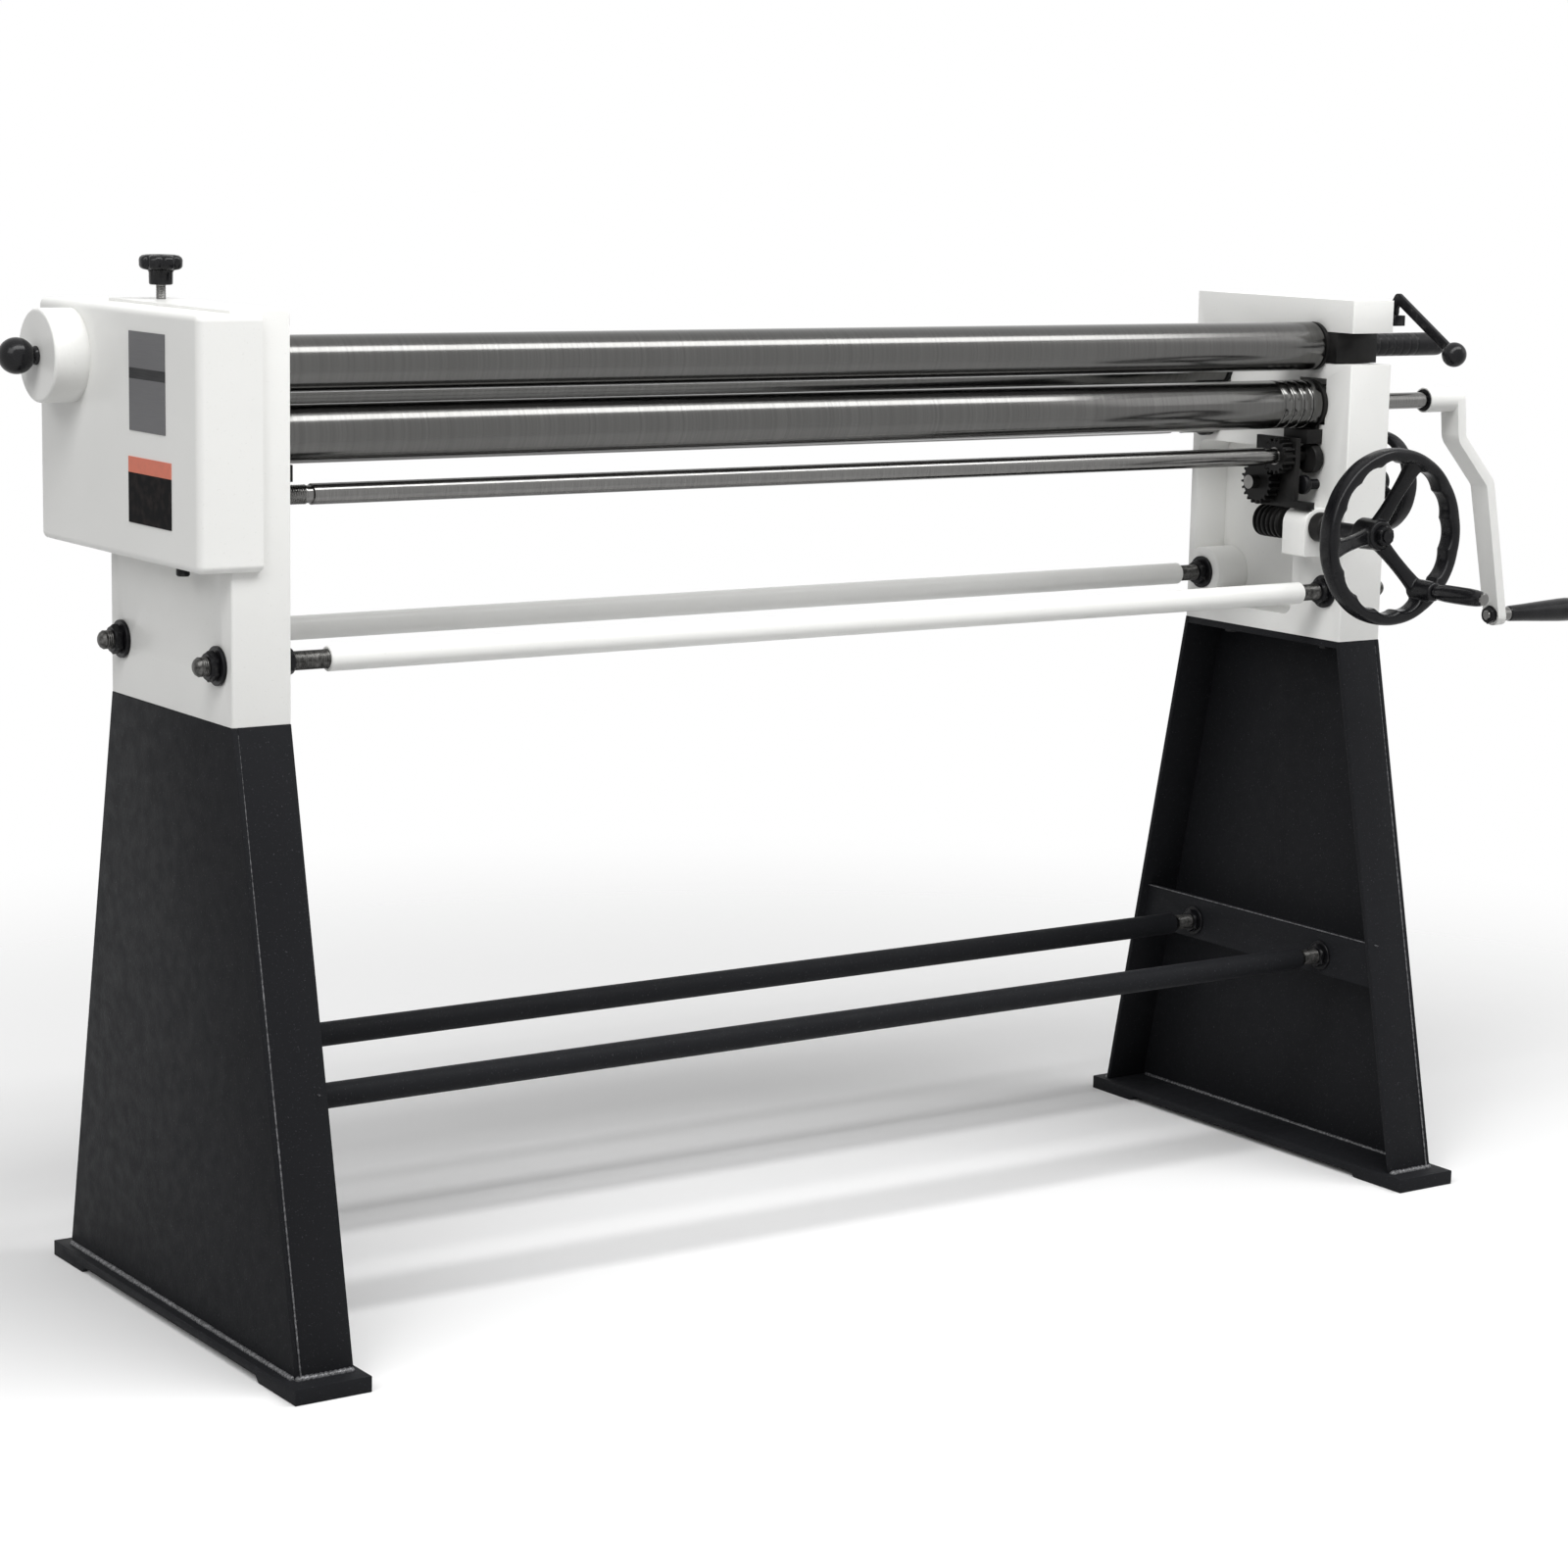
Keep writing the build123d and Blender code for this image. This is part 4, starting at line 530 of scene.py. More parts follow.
def cast(name, faces, slot, node, voxel, rounds):
    """Fuses overlapping shapes into one casting with soft inner corners; the voxel size is in mm."""
    bmesh.ops.recalc_face_normals(faces, faces=faces.faces)
    piece = add_object(name, mesh_from(name, faces))
    fuse = piece.modifiers.new("fuse", "REMESH")
    fuse.mode = "VOXEL"
    fuse.voxel_size = voxel * MM
    smooth = piece.modifiers.new("soften", "SMOOTH")
    smooth.factor = 0.5
    smooth.iterations = rounds
    apply_modifiers(piece)
    for face in piece.data.polygons:
        face.use_smooth = True
    dress(piece, slot, node)


def tube_between(faces, points, radii, segments=16):
    """Adds a closed round bar through points; radii are in mm."""
    rings = []
    for index, point in enumerate(points):
        before = points[max(index - 1, 0)]
        after = points[min(index + 1, len(points) - 1)]
        forward = (after - before).normalized()
        side = forward.cross(Vector((0, 0, 1)))
        if side.length < 0.1:
            side = forward.cross(Vector((0, 1, 0)))
        side.normalize()
        up = side.cross(forward)
        ring = []
        for step in range(segments):
            angle = 2 * pi * step / segments
            out = side * cos(angle) + up * sin(angle)
            ring.append(faces.verts.new(point + out * radii[index] * MM))
        rings.append(ring)
    join_rings(faces, rings)
    faces.faces.new(rings[0][::-1])
    faces.faces.new(rings[-1])


def weld(name, node, runs, radius, pitch=5.0):
    """Beads of weld along straight runs on a plate: overlapping ripples of slightly uneven size."""
    ripples, wander_scale, wander_size, ripple_size, least = 4, 60, 0.25, 0.28, 0.80
    faces = bmesh.new()
    for start, end in runs:
        length = (end - start).length / MM
        count = int(length / pitch * ripples)
        points = []
        radii = []
        for k in range(count + 1):
            share = k / count
            point = start.lerp(end, share)
            wander = noise.noise(point * wander_scale) * wander_size
            ripple = abs(sin(pi * share * length / pitch)) * ripple_size
            points.append(point)
            radii.append(radius * (least + ripple + wander))
        radii[0] *= 0.5
        radii[-1] *= 0.5
        tube_between(faces, points, radii, 10)
    add_piece(name, faces, "stand_paint", node, crease_deg=60, finish="weld", extra=True)


# Sizes and places along the machine, in mm, as the solids have them

housing_gap, housing_thick, housing_depth = 1340, 62, 270
left_out, right_out = -housing_thick, housing_gap + housing_thick
stand_height, stand_plate, base_thick = 618, 6, 16
bar_inset, bar_thick = 10, 8
roll_y, upper_z, lower_z = 63, 954, 888
rear_y, rear_z = 228, 925
roll_radius, roll_edge, roll_end_gap = 27.5, 1.2, 8
barrel_start, barrel_end = roll_end_gap, housing_gap - roll_end_gap
journal_radius, upper_journal_radius = 12, 13.5
front_shaft_z, rear_shaft_z = 829, 853
tie_rows, tie_z, tie_stud_radius = (28, 243), 674, 9.5
stand_rod_rows, stand_rod_z, stand_stud_radius = (18, 244), 245, 9
wheel_x, wheel_z = 1320, 750
lock_y, lock_z = 50, 796
crank_shaft_radius, crank_boss_start, crank_boss_length = 9.5, housing_gap + 176, 54
crank_length, crank_arm_x, crank_arm_half = 262, housing_gap + 315, 6.25
star_x, star_base = -25, 1022
pull_y, pull_z = 276, 952
cover_outer, cover_low = -99, 765
pull_boss_face = cover_outer - 36


def make_rolls():
    """The three ground rolls, with chamfered barrel ends and turned journals."""
    start, end, journal = barrel_start, barrel_end, journal_radius
    barrel = bar(start, end, roll_radius, roll_edge)
    centre = at(0, roll_y, upper_z)
    turned("upper_roll_barrel", "X", centre, barrel, "ground_steel", "upper_roll", 96)
    make_upper_journals(centre)
    centre = at(0, roll_y, lower_z)
    grooved = barrel[:3] + wire_grooves() + barrel[3:]
    turned("lower_roll_barrel", "X", centre, grooved, "ground_steel", "lower_roll", 96, crease_deg=50)
    faces = bmesh.new()
    gear_end, crank_end = -86, crank_boss_start + crank_boss_length
    turn(faces, "X", centre, [(gear_end, 0), (gear_end, journal - 0.8), (gear_end + 1, journal),
                              (start, journal), (start, 0)], 48)
    turn(faces, "X", centre, [(end, 0), (end, journal), (right_out - 1, journal), (right_out, journal - 1),
                              (right_out, crank_shaft_radius), (crank_end - 1.5, crank_shaft_radius),
                              (crank_end, crank_shaft_radius - 1.5), (crank_end, 0)], 48)
    add_piece("lower_roll_journals", faces, "bright_steel", "lower_roll", extra=True)
    inset = 5
    left, right = left_out + inset, right_out - inset
    rear = [(left, 0), (left, journal), (start, journal)] + barrel[1:-1]
    rear += [(end, journal), (right, journal), (right, 0)]
    centre = at(0, rear_y, rear_z)
    turned("rear_roll_bar", "X", centre, rear, "ground_steel", "rear_roll", 96)


def make_upper_journals(centre):
    """The upper roll's driven end with its flat dog, and its long ringed extension on the right."""
    journal_end = -46
    dog_length, dog_sink, dog_half_thick, dog_half_height = 13, 1, 4, 10
    ring_start, ring_pitch, ring_depth = right_out + 2, 12, 0.35
    ring_end = ring_start + 8 * ring_pitch
    extension_end = housing_gap + 199
    dome_start = extension_end - 11
    radius = upper_journal_radius
    faces = bmesh.new()
    turn(faces, "X", centre, [(journal_end, 0), (journal_end, radius - 0.8), (journal_end + 1, radius),
                              (barrel_start, radius), (barrel_start, 0)])
    box_faces(faces, at(journal_end - dog_length, roll_y - dog_half_thick, upper_z - dog_half_height),
              at(journal_end + dog_sink, roll_y + dog_half_thick, upper_z + dog_half_height))

    def ringed(along, angle, r):
        if ring_start < along < ring_end:
            return r - ring_depth * max(0.0, sin(2 * pi * along / ring_pitch)) ** 6
        return r

    profile = [(barrel_end, 0), (barrel_end, radius)]
    profile += thread_profile(ring_start, dome_start, radius, ring_pitch / 2)
    profile += shifted(extension_end, [(-6, 13.1), (-2.5, 11.2), (0, 7.5), (0, 0)])
    turn(faces, "X", centre, profile, form=ringed)
    add_piece("upper_roll_journals", faces, "black_steel", "upper_roll", extra=True)


def wire_grooves():
    """Outline points of the lower roll's half-round wire grooves, from the narrowest to the widest."""
    inset, pitch, lip, sink, arc_steps = 16, 14, 0.3, 0.1, 8
    radii = (1.3, 1.7, 2.1, 2.5)
    points = []
    for index, radius in enumerate(radii):
        middle = barrel_end - inset - pitch * (len(radii) - 1 - index)
        points.append((middle - radius - lip, roll_radius))
        for k in range(arc_steps + 1):
            angle = pi * k / arc_steps
            depth = sink + radius * sin(angle)
            points.append((middle - radius * cos(angle), roll_radius - depth))
        points.append((middle + radius + lip, roll_radius))
    return points


def make_cam_shaft(label, node, y, z, cam_offset, cam_deg):
    """Bright cross shaft with a threaded stretch and a neck at its left end, and its dark cams."""
    reach, end_radius, neck_radius, radius = 19.5, 10, 8.6, 10.3
    left, right = -reach, housing_gap + reach
    thread_start, thread_end, thread_radius, pitch, depth = 16, 46, 9.6, 2.5, 0.9
    neck_end, taper = 52, 14
    right_neck, gear_seat = housing_gap - 74, housing_gap - 55
    profile = [(left, 0), (left, end_radius - 1), (left + 1, end_radius), (thread_start, end_radius)]
    profile += thread_profile(thread_start, thread_end, thread_radius, pitch)
    profile += [(thread_end, neck_radius), (neck_end, neck_radius), (neck_end + 1, radius),
                (right_neck - taper, radius), (right_neck, end_radius), (right_neck + 1, neck_radius),
                (gear_seat, neck_radius), (gear_seat, end_radius), (right - 1, end_radius),
                (right, end_radius - 1), (right, 0)]
    turned(label + "_bar", "X", at(0, y, z), profile, "bright_steel", node, 48,
           thread_form([(thread_start, thread_end)], pitch, depth))
    cam_inset, cam_width, cam_radius = 2, 12, 17
    cam_angle = radians(cam_deg)
    centre = at(0, y + cam_offset * cos(cam_angle), z + cam_offset * sin(cam_angle))
    faces = bmesh.new()
    for low in (cam_inset, housing_gap - cam_inset - cam_width):
        turn(faces, "X", centre, bar(low, low + cam_width, cam_radius, 1))
    add_piece(label + "_cams", faces, "dark_iron", node, extra=True)


def make_frame_ties():
    """White tubes between the housings, their threaded studs, nuts and washers."""
    tube_start, tube_end = 52, housing_gap - 40
    washer_thick, nut_thick, stud_out, hole = 4, 9, 13, 9.6
    pitch, depth, dome_length = 2.0, 0.8, 5
    centres = [at(0, y, tie_z) for y in tie_rows]
    tube = bar(tube_start, tube_end, 12.5, 1, 0.9, hole)
    turned("frame_tie_tube_pair", "X", centres, tube, "body_paint", "frame_tie_tubes")
    reach = washer_thick + nut_thick + stud_out
    left, right = left_out - reach, right_out + reach
    spans = [(left + dome_length, tube_start - 1), (tube_end + 1, right - dome_length)]
    dome = [(0, 0), (0, 3.2), (0.8, 5.6), (2.4, 7.8), (4.4, 9.0)]
    profile = shifted(left, dome)
    for start, end in spans:
        profile += thread_profile(start, end, tie_stud_radius, pitch)
    profile += shifted(right, dome[::-1], -1)
    turned("frame_tie_stud_pair", "X", centres, profile, "black_steel", "frame_tie_studs", 32,
           thread_form(spans, pitch, depth), 70, "stud_steel")
    faces = bmesh.new()
    for centre in centres:
        for face, way in ((0, 1), (left_out, -1), (housing_gap, -1), (right_out, 1)):
            seat = face + way * washer_thick
            washer(faces, "X", centre, face, seat, 19, hole)
            hexagon(faces, "X", centre, seat, seat + way * nut_thick, 15, hole, 1.6)
    add_piece("frame_nut_set", faces, "black_steel", "frame_rod_nuts")


def make_stand_rods():
    """Dark rods between the stands' cross bars, with threaded ends, nuts and washers."""
    rod_start, washer_thick, inner_nut, outer_nut, hole = 25, 3, 6, 9, 9.1
    pitch, depth, tip = 2.0, 0.7, -41
    centres = [at(0, y, stand_rod_z) for y in stand_rod_rows]
    rod = bar(rod_start, housing_gap - rod_start, 12.75, 2.5, 2.25)
    turned("stand_rod_pair", "X", centres, rod, "stand_paint", "stand_tie_rods", 48)
    span = (tip + 1, rod_start - 3)
    form = thread_form([span, (housing_gap - span[1], housing_gap - span[0])], pitch, depth)
    left_end = [(tip, 0), (tip, stand_stud_radius - 1)] + thread_profile(*span, stand_stud_radius, pitch)
    left_end += [(rod_start, stand_stud_radius), (rod_start, 0)]
    right_end = shifted(housing_gap, left_end[::-1], -1)
    faces = bmesh.new()
    for centre in centres:
        for outline in (left_end, right_end):
            turn(faces, "X", centre, outline, 32, form)
    add_piece("stand_rod_ends", faces, "bright_steel", "stand_tie_rods", 70, "stud_steel", extra=True)
    faces = bmesh.new()
    for centre in centres:
        for inner, way in ((-bar_inset, 1), (housing_gap + bar_inset, -1)):
            seat = inner + way * washer_thick
            outer = inner - way * bar_thick
            washer(faces, "X", centre, inner, seat, 17, hole)
            hexagon(faces, "X", centre, seat, seat + way * inner_nut, 14, hole, 1.4)
            hexagon(faces, "X", centre, outer, outer - way * outer_nut, 14, hole, 1.4)
    add_piece("stand_nut_set", faces, "black_steel", "stand_rod_nuts")


def squarish(angle, power):
    """Cosine and sine of an angle, each pushed out towards a rounded square."""
    return [copysign(abs(part) ** power, part) for part in (cos(angle), sin(angle))]


def wheel_rim(faces, axis, centre, outer, rim, low, high, ridges, dip):
    """Adds a wheel's rim with finger dips along its inner edge."""
    steps, section = ridges * 16, 20
    rings = []
    for step in range(steps):
        angle = 2 * pi * step / steps
        inner = outer - rim + dip * abs(cos(angle * ridges / 2)) ** 0.8
        ring = []
        for k in range(section):
            across, along = squarish(2 * pi * k / section, 0.62)
            r = (outer + inner) / 2 + across * (outer - inner) / 2
            depth = (low + high) / 2 + along * (high - low) / 2
            place = axis_point(axis, centre, depth, r * cos(angle), r * sin(angle))
            ring.append(faces.verts.new(place))
        rings.append(ring)
    join_rings(faces, rings + rings[:1])


def wheel_spoke(faces, axis, centre, angle, start, reach, ends, depth, half_width):
    """Adds a flared spoke from the hub to its reach; ends are its places along the axis at both."""
    rows, section = 14, 16
    rings = []
    for k in range(rows + 1):
        share = k / rows
        r = start + (reach - start) * share
        half = half_width * (0.88 + 0.16 * share) * (1 + 0.55 * abs(2 * share - 1) ** 2.5)
        half_depth = depth / 2 * (1 + 0.12 * abs(2 * share - 1))
        middle = ends[0] + (ends[1] - ends[0]) * r / reach
        ring = []
        for m in range(section):
            across, along = squarish(2 * pi * m / section, 0.6)
            across *= half
            place = axis_point(axis, centre, middle + along * half_depth,
                               r * cos(angle) - across * sin(angle),
                               r * sin(angle) + across * cos(angle))
            ring.append(faces.verts.new(place))
        rings.append(ring)
    join_rings(faces, rings)
    faces.faces.new(rings[0])
    faces.faces.new(rings[-1][::-1])


def wheel_shape(faces, axis, centre, outer, rim, low, high, ridges, dip, first_deg, hub, spoke):
    """Adds a wheel; hub is (low, high, radius) and spoke is (ends along the axis, depth, half width)."""
    wheel_rim(faces, axis, centre, outer, rim, low, high, ridges, dip)
    start, end, radius = hub
    turn(faces, axis, centre, [(start, 0), (start, radius - 2), (start + 2, radius), (end - 2, radius + 1),
                               (end, radius - 1), (end, 0)], 48)
    for turn_deg in (0, 120, 240):
        angle = radians(first_deg + turn_deg)
        wheel_spoke(faces, axis, centre, angle, radius * 0.4, outer - rim * 0.55, *spoke)


def make_handwheel():
    """Dished handwheel on the worm shaft, with its nut, handle and collar."""
    centre = at(wheel_x, 0, wheel_z)
    rim_y, rim_depth = -97, 24
    rim_front, rim_back = rim_y - rim_depth / 2, rim_y + rim_depth / 2
    hub_front, hub_back = -84, -50
    arm, angle = 79, radians(-51.5)
    boss = at(wheel_x + arm * cos(angle), 0, wheel_z + arm * sin(angle))
    boss_front = rim_front - 14
    faces = bmesh.new()
    spoke_ends = ((hub_front + hub_back) / 2, rim_y)
    wheel_shape(faces, "Y", centre, outer=99.6, rim=17.5, low=rim_front, high=rim_back, ridges=15, dip=3.8,
                first_deg=68, hub=(hub_front, hub_back, 17), spoke=(spoke_ends, 12, 8.4))
    turn(faces, "Y", boss, shifted(boss_front, [(0, 0), (0, 9), (2, 11), (11, 11.6)])
         + shifted(rim_back, [(-2, 12), (0, 10), (0, 0)]), 32)
    cast("handwheel_casting", faces, "black_casting", "handwheel", voxel=1.25, rounds=4)
    nut_thick, stud_out, stud_radius, shaft_radius = 8, 2, 7, 9
    faces = bmesh.new()
    hexagon(faces, "Y", centre, hub_front - nut_thick, hub_front, 12, stud_radius + 0.1, 1.3)
    add_piece("handwheel_hex_nut", faces, "black_steel", "handwheel_nut")
    make_worm(centre, hub_front - nut_thick - stud_out, hub_front, stud_radius, shaft_radius)
    collar = bar(4, 21.5, 17, 1.5, hole=shaft_radius)
    turned("worm_shaft_collar", "Y", centre, collar, "dark_iron", "shaft_collar", 48)
    grip = [(0.5, 4.6), (0.5, 7), (2, 8), (5, 8.2), (7, 9.1), (17, 9.8), (33, 10), (52, 9.9), (64, 9.3),
            (70, 8.4), (73.5, 7), (73.5, 4.6), (0.5, 4.6)]
    turned("handwheel_handle_grip", "Y", boss, shifted(boss_front, grip, -1), "black_plastic",
           "handwheel_handle", 48, crease_deg=25)
    pin_radius = 4.5
    pin = shifted(boss_front, [(77, 0), (77, 5.6), (76, 7), (74, 7), (74, pin_radius)], -1)
    pin += [(rim_back, pin_radius), (rim_back, 0)]
    turned("handwheel_handle_pin", "Y", boss, pin, "bright_steel", "handle_pin", 40)


def make_worm(centre, tip, shoulder, stud_radius, shaft_radius):
    """The handwheel's shaft, threaded for its nut, and the worm behind it."""
    stud_pitch, stud_depth = 1.75, 0.6
    start, length, radius, edge = 70, 44, 19, 1.5
    end = start + length
    pitch, depth, run_out, steps = 7.85, 4.4, 3, 88
    spans = [(tip, shoulder - 1)]
    profile = [(tip, 0), (tip, stud_radius - 1)] + thread_profile(*spans[0], stud_radius, stud_pitch)
    profile += [(shoulder, stud_radius), (shoulder, shaft_radius), (start, shaft_radius), (start, 0)]
    turned("worm_shaft_bar", "Y", centre, profile, "black_steel", "worm_shaft", 32,
           thread_form(spans, stud_pitch, stud_depth), 60)

    def helix(along, angle, r):
        if r < radius:
            return r
        phase = (along / pitch - angle / (2 * pi)) % 1.0
        wave = min(1.0, max(0.0, 2.2 * abs(2 * phase - 1) - 0.45))
        fade = min(1.0, (along - start) / run_out, (end - along) / run_out)
        return r - depth * (1 - wave) * fade

    crests = [(start + length * k / steps, radius) for k in range(1, steps)]
    profile = [(start, 0), (start, radius - edge)] + crests + [(end, radius - edge), (end, 0)]
    turned("worm_thread", "Y", centre, profile, "dark_iron", "worm_shaft", 64, helix, 50, extra=True)


def make_lock_wheel():
    """Small wheel outside the right housing, on its screw with a round inner head."""
    centre = at(0, lock_y, lock_z)
    rim_low, rim_high, hub_low, spoke_x = right_out + 24, right_out + 42, right_out + 12, right_out + 29.5
    faces = bmesh.new()
    wheel_shape(faces, "X", centre, outer=59.8, rim=12.5, low=rim_low, high=rim_high, ridges=12, dip=2.6,
                first_deg=90, hub=(hub_low, rim_high, 13), spoke=((spoke_x, spoke_x), 9, 6.6))
    cast("lock_wheel_casting", faces, "black_casting", "lock_wheel", voxel=1.1, rounds=3)
    head_radius, screw_radius, pitch, depth = 11, 6, 2.0, 0.6
    knurl_count, knurl_depth = 36, 0.35
    head_low, head_high, screw_end = housing_gap - 24, housing_gap - 16, rim_high + 0.4
    span = (head_high + 2, hub_low - 2)
    thread = thread_form([span], pitch, depth)

    def knurled(along, angle, radius):
        if radius == head_radius:
            return radius - knurl_depth * (0.5 + 0.5 * cos(knurl_count * angle))
        return thread(along, angle, radius)

    profile = bar(head_low, head_high, head_radius, 1.2)[:-1] + [(head_high, screw_radius)]
    profile += thread_profile(*span, screw_radius, pitch) + [(screw_end, screw_radius), (screw_end, 0)]
    turned("lock_screw_turned", "X", centre, profile, "black_steel", "lock_screw", 144, knurled, 60)


def make_crank():
    """Softened arm, crank pin and nut, black sleeve in the boss, and the tapered grip."""
    softened("crank_arm", 2.2, 3, 35)
    centre = at(0, roll_y, lower_z - crank_length)
    pin_start = (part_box("crank_pin")[0].x - left_face) / MM
    pin_radius, collar_radius, nut_thick = 6, 8.5, 8
    grip_start, spot_depth = crank_arm_x + crank_arm_half + 13, 1.5
    collar_start, collar_end = crank_arm_x + crank_arm_half - spot_depth, grip_start - 0.55
    pin = [(pin_start, 0), (pin_start, pin_radius - 1), (pin_start + 0.8, pin_radius)]
    pin += shifted(collar_start, [(0, pin_radius), (0, collar_radius - 0.8), (0.85, collar_radius)])
    pin += [(collar_end - 0.8, collar_radius), (collar_end, collar_radius - 0.8), (collar_end, pin_radius)]
    pin += shifted(grip_start, [(91.75, pin_radius), (92.75, pin_radius - 1), (92.75, 0)])
    turned("crank_pin_turned", "X", centre, pin, "bright_steel", "crank_pin", 40)
    faces = bmesh.new()
    nut_start = pin_start + 1.5
    hexagon(faces, "X", centre, nut_start, nut_start + nut_thick, 11, pin_radius - 0.1, 1.2)
    add_piece("crank_pin_nut", faces, "black_steel", "crank_pin", extra=True)
    sleeve = [(-1.4, 9.6), (-1.4, 12.2), (-0.6, 13), (2, 13), (2, 9.6), (-1.4, 9.6)]
    turned("crank_boss_ring", "X", at(0, roll_y, lower_z), shifted(crank_boss_start, sleeve), "black_steel",
           "crank_arm", 48, extra=True)
    grip = [(0.05, 6.1), (0.05, 8.2), (1.35, 9.2), (4.75, 9.6), (25.75, 10.6), (55.75, 12.4), (85.75, 14),
            (99.75, 14.4), (107.75, 13.6), (112.75, 11.4), (115.35, 8), (115.95, 4), (115.95, 0),
            (93.25, 0), (93.25, 6.1), (0.05, 6.1)]
    turned("crank_grip_turned", "X", centre, shifted(grip_start, grip), "black_plastic", "crank_grip", 56,
           crease_deg=25)


def make_star_knob():
    """Star knob with eight lobes, on its threaded stud."""
    centre = at(star_x, rear_y, 0)
    hub_radius, lobe_count, stud_radius, pitch = 13, 8, 5, 1.5

    def lobes(along, angle, radius):
        if radius < hub_radius:
            return radius
        return radius * (1 - 0.15 * (0.5 - 0.5 * cos(lobe_count * angle)) ** 3)

    outline = [(0, 5), (0, 10.6), (1, 11.6), (12, 11.9), (14, 13.5), (14.8, 18), (16, 20.4), (18, 21.6),
               (24, 21.8), (26.5, 20.8), (28.2, 18.5), (28.9, 15), (28.4, 12.5), (27.8, 11.5),
               (27.6, 8), (27.6, 0)]
    turned("star_knob_moulding", "Z", centre, shifted(star_base, outline), "black_plastic", "star_knob", 128,
           lobes, 40)
    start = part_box("star_knob_stud")[0].z / MM
    span = (start + 0.5, star_base)
    profile = [(start, 0), (start, stud_radius - 0.8)] + thread_profile(*span, stud_radius, pitch)
    profile += shifted(star_base, [(1, stud_radius), (14, stud_radius), (14, 0)])
    turned("star_knob_screw", "Z", centre, profile, "bright_steel", "star_knob_stud", 32,
           thread_form([span], pitch, 0.6), 70)


def make_ball_knobs():
    """The pull ball with its stem and rod, and the lever's ball."""
    centre = at(0, pull_y, pull_z)
    radius, stem_radius, rod_radius, steps = 18, 9, 6, 30
    middle = pull_boss_face - 21
    ball = []
    for k in range(steps - 4):
        angle = pi * k / steps
        along, across = middle - radius * cos(angle), radius * sin(angle)
        if across > stem_radius or along < middle:
            ball.append((along, across))
    ball += shifted(pull_boss_face, [(-5.2, 9), (-3.5, 8.4), (-1.5, 9.4), (-0.5, 9.4), (-0.5, rod_radius)])
    turned("pull_ball_moulding", "X", centre, ball, "black_plastic", "pull_ball_knob", crease_deg=30)
    disc_radius, disc_thick, rod_start = 14, 4, pull_boss_face - 5
    rod = [(rod_start, 0), (rod_start, rod_radius), (cover_outer, rod_radius), (cover_outer, disc_radius),
           (cover_outer + disc_thick, disc_radius), (cover_outer + disc_thick, 0)]
    turned("pull_rod_turned", "X", centre, rod, "bright_steel", "pull_rod", 40)
    low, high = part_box("release_lever_ball")
    faces = bmesh.new()
    bmesh.ops.create_uvsphere(faces, u_segments=48, v_segments=32, radius=14 * MM,
                              matrix=Matrix.Translation((low + high) / 2))
    add_piece("release_lever_knob", faces, "black_plastic", "release_lever_ball")


def make_stands():
    """Welded stands: softened plates with beads of weld along their joints."""
    front, back = -127, housing_depth + 118
    bar_front, bar_back, bar_top = -78, 343, 274
    for side, inner, way in (("left", 0, -1), ("right", housing_gap, 1)):
        softened(side + "_stand_base_plate", 1.0, 2)
        for part in ("side_plate", "front_flange", "rear_flange", "top_plate", "cross_bar"):
            softened(f"{side}_stand_{part}", 0.8, 2)
        outer = inner + way * housing_thick
        plate_x = outer - way * stand_plate
        bar_x = inner + way * bar_inset
        runs = [(at(outer, front + 2, base_thick), at(outer, back - 2, base_thick))]
        for y in (front, back):
            runs.append((at(outer, y, base_thick), at(inner, y, base_thick)))
        weld(side + "_stand_base_weld", side + "_stand_base_plate", runs, 3.6)
        runs = []
        for y_low, y_high in ((front, 0), (back, housing_depth)):
            runs.append((at(plate_x, y_low, base_thick + 2), at(plate_x, y_high, stand_height - 6)))
        weld(side + "_stand_edge_weld", side + "_stand_side_plate", runs, 0.9, 7.0)
        runs = [(at(bar_x, bar_front, bar_top), at(bar_x, bar_back, bar_top))]
        weld(side + "_stand_bar_weld", side + "_stand_cross_bar", runs, 0.8, 6.0)
        runs = [(at(plate_x, front + 10, base_thick), at(plate_x, back - 10, base_thick))]
        weld(side + "_stand_inner_weld", side + "_stand_base_plate", runs, 2.6)


def make_housing_details():
    """Softened castings, lever, blocks and small screws."""
    for name, width in (("left_housing", 1.4), ("right_housing", 1.4), ("release_lever", 1.0),
                        ("lever_stop", 0.8), ("lift_bracket", 0.8)):
        softened(name, width)
    for name in ("upper_block", "lower_block_left", "lower_block_right", "rear_block_left",
                 "rear_block_right"):
        softened(name, 0.7, 2)
    bolt_inset, bolt_radius, bolt_low, bolt_high, head = 52, 6, stand_height - 8, stand_height + 18, 7
    faces = bmesh.new()
    for x in (left_out / 2, housing_gap + housing_thick / 2):
        for y in (bolt_inset, housing_depth - bolt_inset):
            centre = at(x, y, 0)
            turn(faces, "Z", centre, [(bolt_low, 0), (bolt_low, bolt_radius), (bolt_high - 1, bolt_radius),
                                      (bolt_high, bolt_radius - 1), (bolt_high, 0)], 32)
            hexagon(faces, "Z", centre, bolt_low - head, bolt_low, 10, 0.5, 1.0)
    add_piece("housing_bolt_set", faces, "black_steel", "housing_bolts")
    screw = [(-9, 0), (-9, 5.4), (-7.8, 6.5), (-1, 6.5), (0, 6), (0, 4), (5, 4), (5, 0)]
    turned("cover_screw_turned", "Z", at((left_out + cover_outer) / 2, 0.24 * housing_depth, 0),
           shifted(cover_low, screw), "black_steel", "cover_screw", 32)


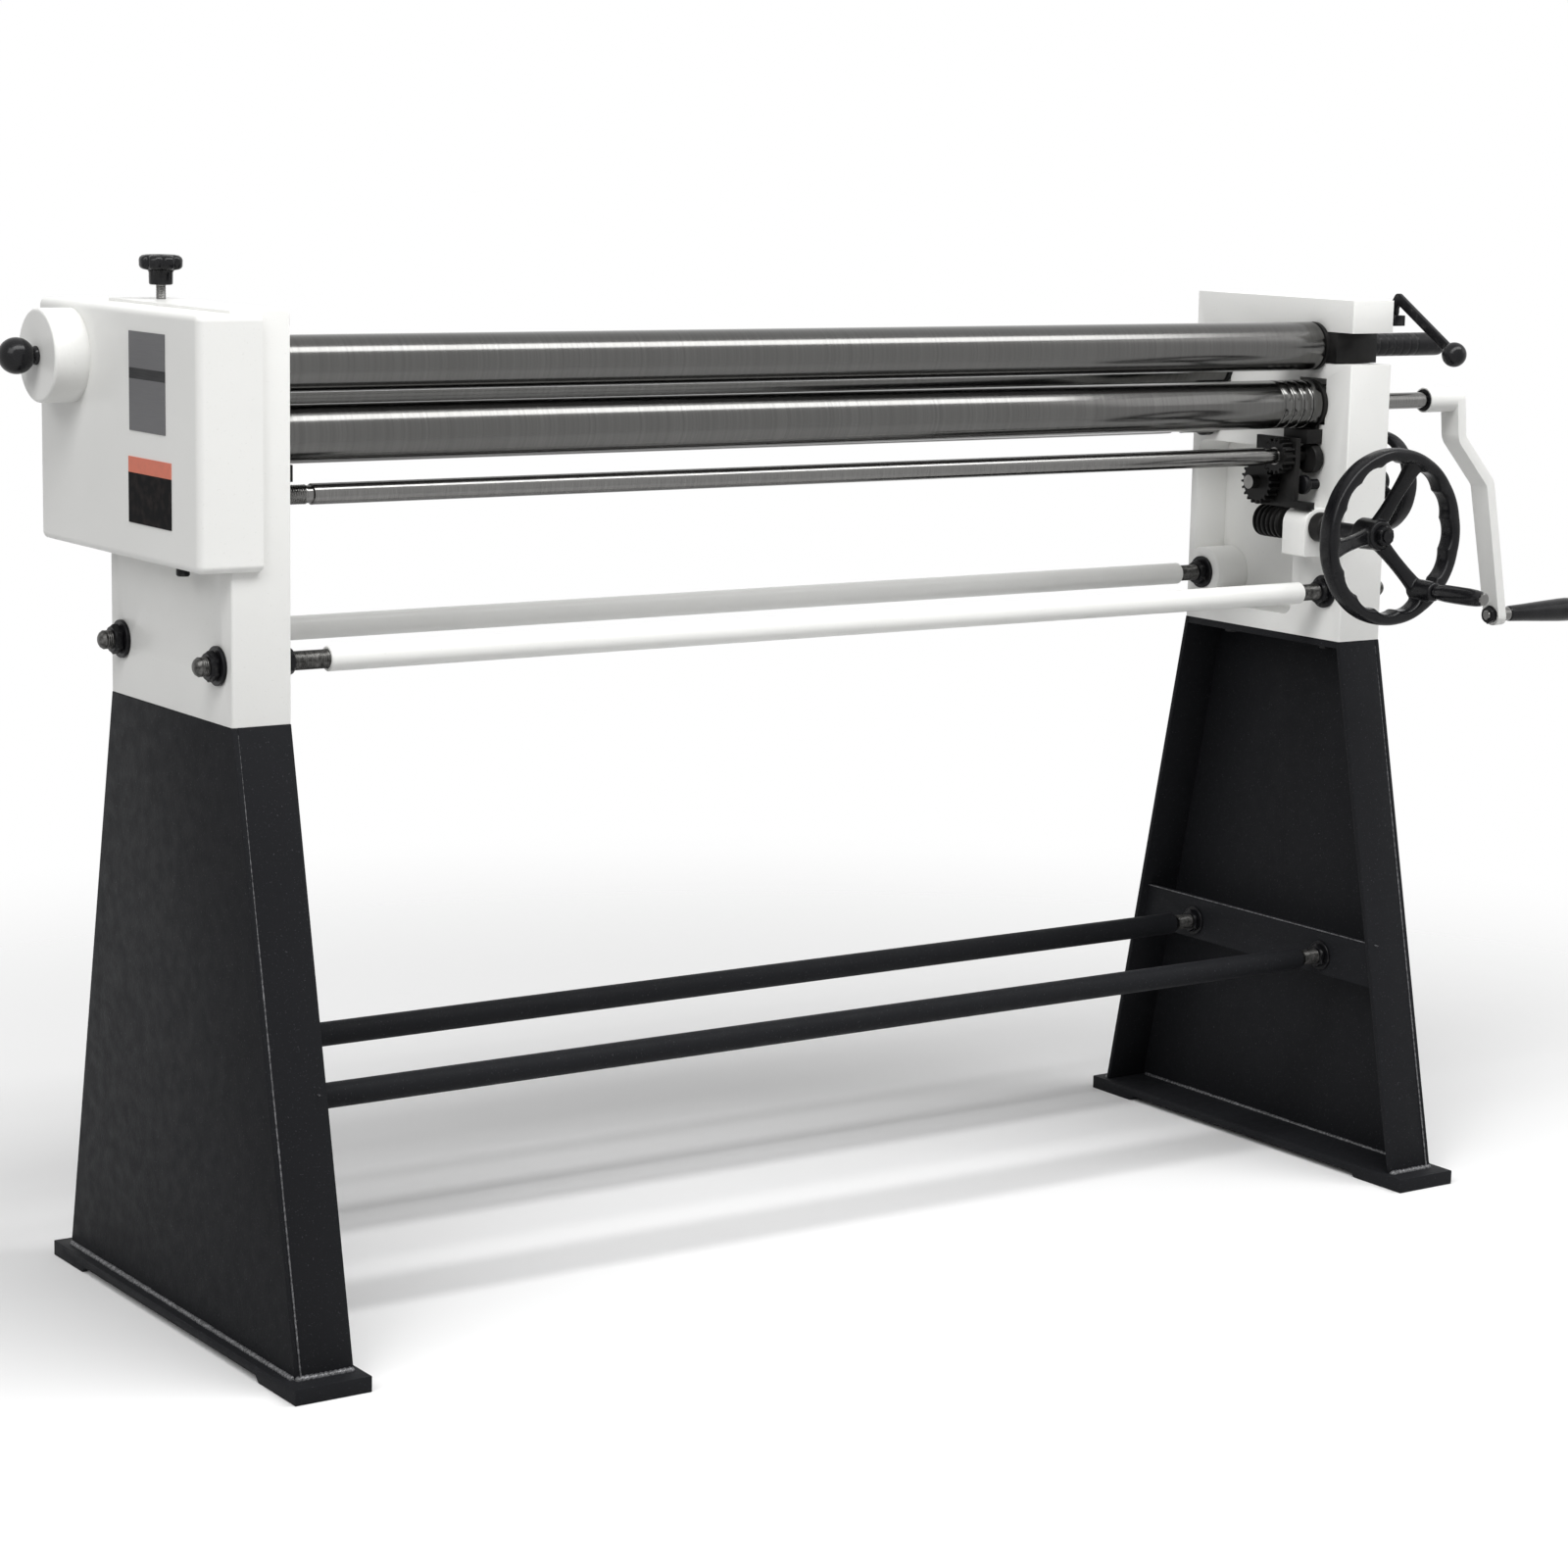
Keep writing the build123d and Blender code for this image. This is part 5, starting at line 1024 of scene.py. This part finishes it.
make_rolls()
make_cam_shaft("front_shaft", "front_cross_shaft", roll_y, front_shaft_z, 10, 198)
make_cam_shaft("rear_shaft", "rear_cross_shaft", rear_y, rear_shaft_z, 12, 12)
make_frame_ties()
make_stand_rods()
make_handwheel()
make_lock_wheel()
make_crank()
make_star_knob()
make_ball_knobs()
make_stands()
make_housing_details()


# Floor, light and camera

def seen_share(tree):
    """1 for rays that show the background: seen, in gloss and through glass; 0 for the others."""
    path = tree.nodes.new("ShaderNodeLightPath")
    total = path.outputs["Is Camera Ray"]
    for kind in ("Is Glossy Ray", "Is Transmission Ray"):
        inputs = {0: total, 1: path.outputs[kind]}
        total = add_node(tree, "Math", inputs, operation="MAXIMUM").outputs["Value"]
    return total


def make_floor():
    """Pale floor under the machine, which fades into the white surroundings a few metres away."""
    half_width, fade_start, fade_end = 12, 0.7, 2.3
    faces = bmesh.new()
    bmesh.ops.create_grid(faces, x_segments=1, y_segments=1, size=half_width)
    floor = add_object("studio_floor", mesh_from("studio_floor", faces))
    material, tree, shader = new_material("floor_paint", (0.92, 0.92, 0.92), 0.9, specular=0.0)
    grain = noise_value(tree, 3.0, detail=3.0)
    set_colour(shader, grey_range(grain, 0.2, 0.8, 0.915, 0.925))
    length = add_node(tree, "VectorMath", {0: coordinates(tree)}, operation="LENGTH").outputs["Value"]
    inputs = {"Value": length, "From Min": fade_start, "From Max": fade_end}
    fade = add_node(tree, "MapRange", inputs, interpolation_type="SMOOTHSTEP").outputs["Result"]
    clear = tree.nodes.new("ShaderNodeBsdfTransparent")
    mix = add_node(tree, "MixShader", {"Fac": fade, 1: shader.outputs["BSDF"], 2: clear.outputs["BSDF"]})
    link(mix.outputs["Shader"], tree.nodes["Material Output"].inputs["Surface"])
    floor.data.materials.append(material)


def lamp(name, place, target, size, size_y, power):
    """Rectangular lamp at a place, turned to a target; metres and watts."""
    data = bpy.data.lights.new(name, "AREA")
    data.shape = "RECTANGLE"
    data.size = size
    data.size_y = size_y
    data.energy = power
    holder = add_object(name, data)
    holder.location = place
    holder.rotation_euler = (Vector(target) - Vector(place)).to_track_quat("-Z", "Y").to_euler()


def make_light():
    """White surroundings that give a dim even light, and soft lamps overhead and in front."""
    world = bpy.data.worlds.new("studio")
    bpy.context.scene.world = world
    world.use_nodes = True
    tree = world.node_tree
    shown = tree.nodes["Background"]
    set_inputs(shown, {"Color": (1, 1, 1, 1), "Strength": 1.0})
    light = add_node(tree, "Background", {"Color": (1, 1, 1, 1), "Strength": 0.27})
    inputs = {"Fac": seen_share(tree), 1: light.outputs["Background"], 2: shown.outputs["Background"]}
    mix = add_node(tree, "MixShader", inputs)
    link(mix.outputs["Shader"], tree.nodes["World Output"].inputs["Surface"])
    lamp("key_lamp", (-5.0, -2.2, 4.0), (0, 0, 0.6), 3.0, 3.0, 108)
    lamp("top_strip", (0.0, -1.3, 3.2), (0, 0.1, 0.9), 5.0, 1.0, 125)
    lamp("fill_lamp", (4.8, -2.6, 3.0), (0.2, 0, 0.6), 2.5, 2.5, 18)


def make_camera():
    """Camera at the photograph's place, angle and field of view."""
    yaw, pitch, roll = radians(34.57), radians(9.79), radians(-1.19)
    place = at(-1576.88, -3113.42, 1166.96)
    lens, sensor_width = 84.78, 36
    forward = Vector((sin(yaw) * cos(pitch), cos(yaw) * cos(pitch), -sin(pitch)))
    right = Vector((cos(yaw), -sin(yaw), 0))
    down = forward.cross(right)
    turned_right = right * cos(roll) + down * sin(roll)
    turned_down = down * cos(roll) - right * sin(roll)
    data = bpy.data.cameras.new("camera")
    data.lens = lens
    data.sensor_width = sensor_width
    data.clip_end = 200
    camera = add_object("camera", data)
    turn_matrix = Matrix((turned_right, -turned_down, -forward)).transposed().to_4x4()
    camera.matrix_world = Matrix.Translation(place) @ turn_matrix
    bpy.context.scene.camera = camera


make_floor()
make_light()
make_camera()
bpy.context.scene.view_settings.view_transform = "Standard"
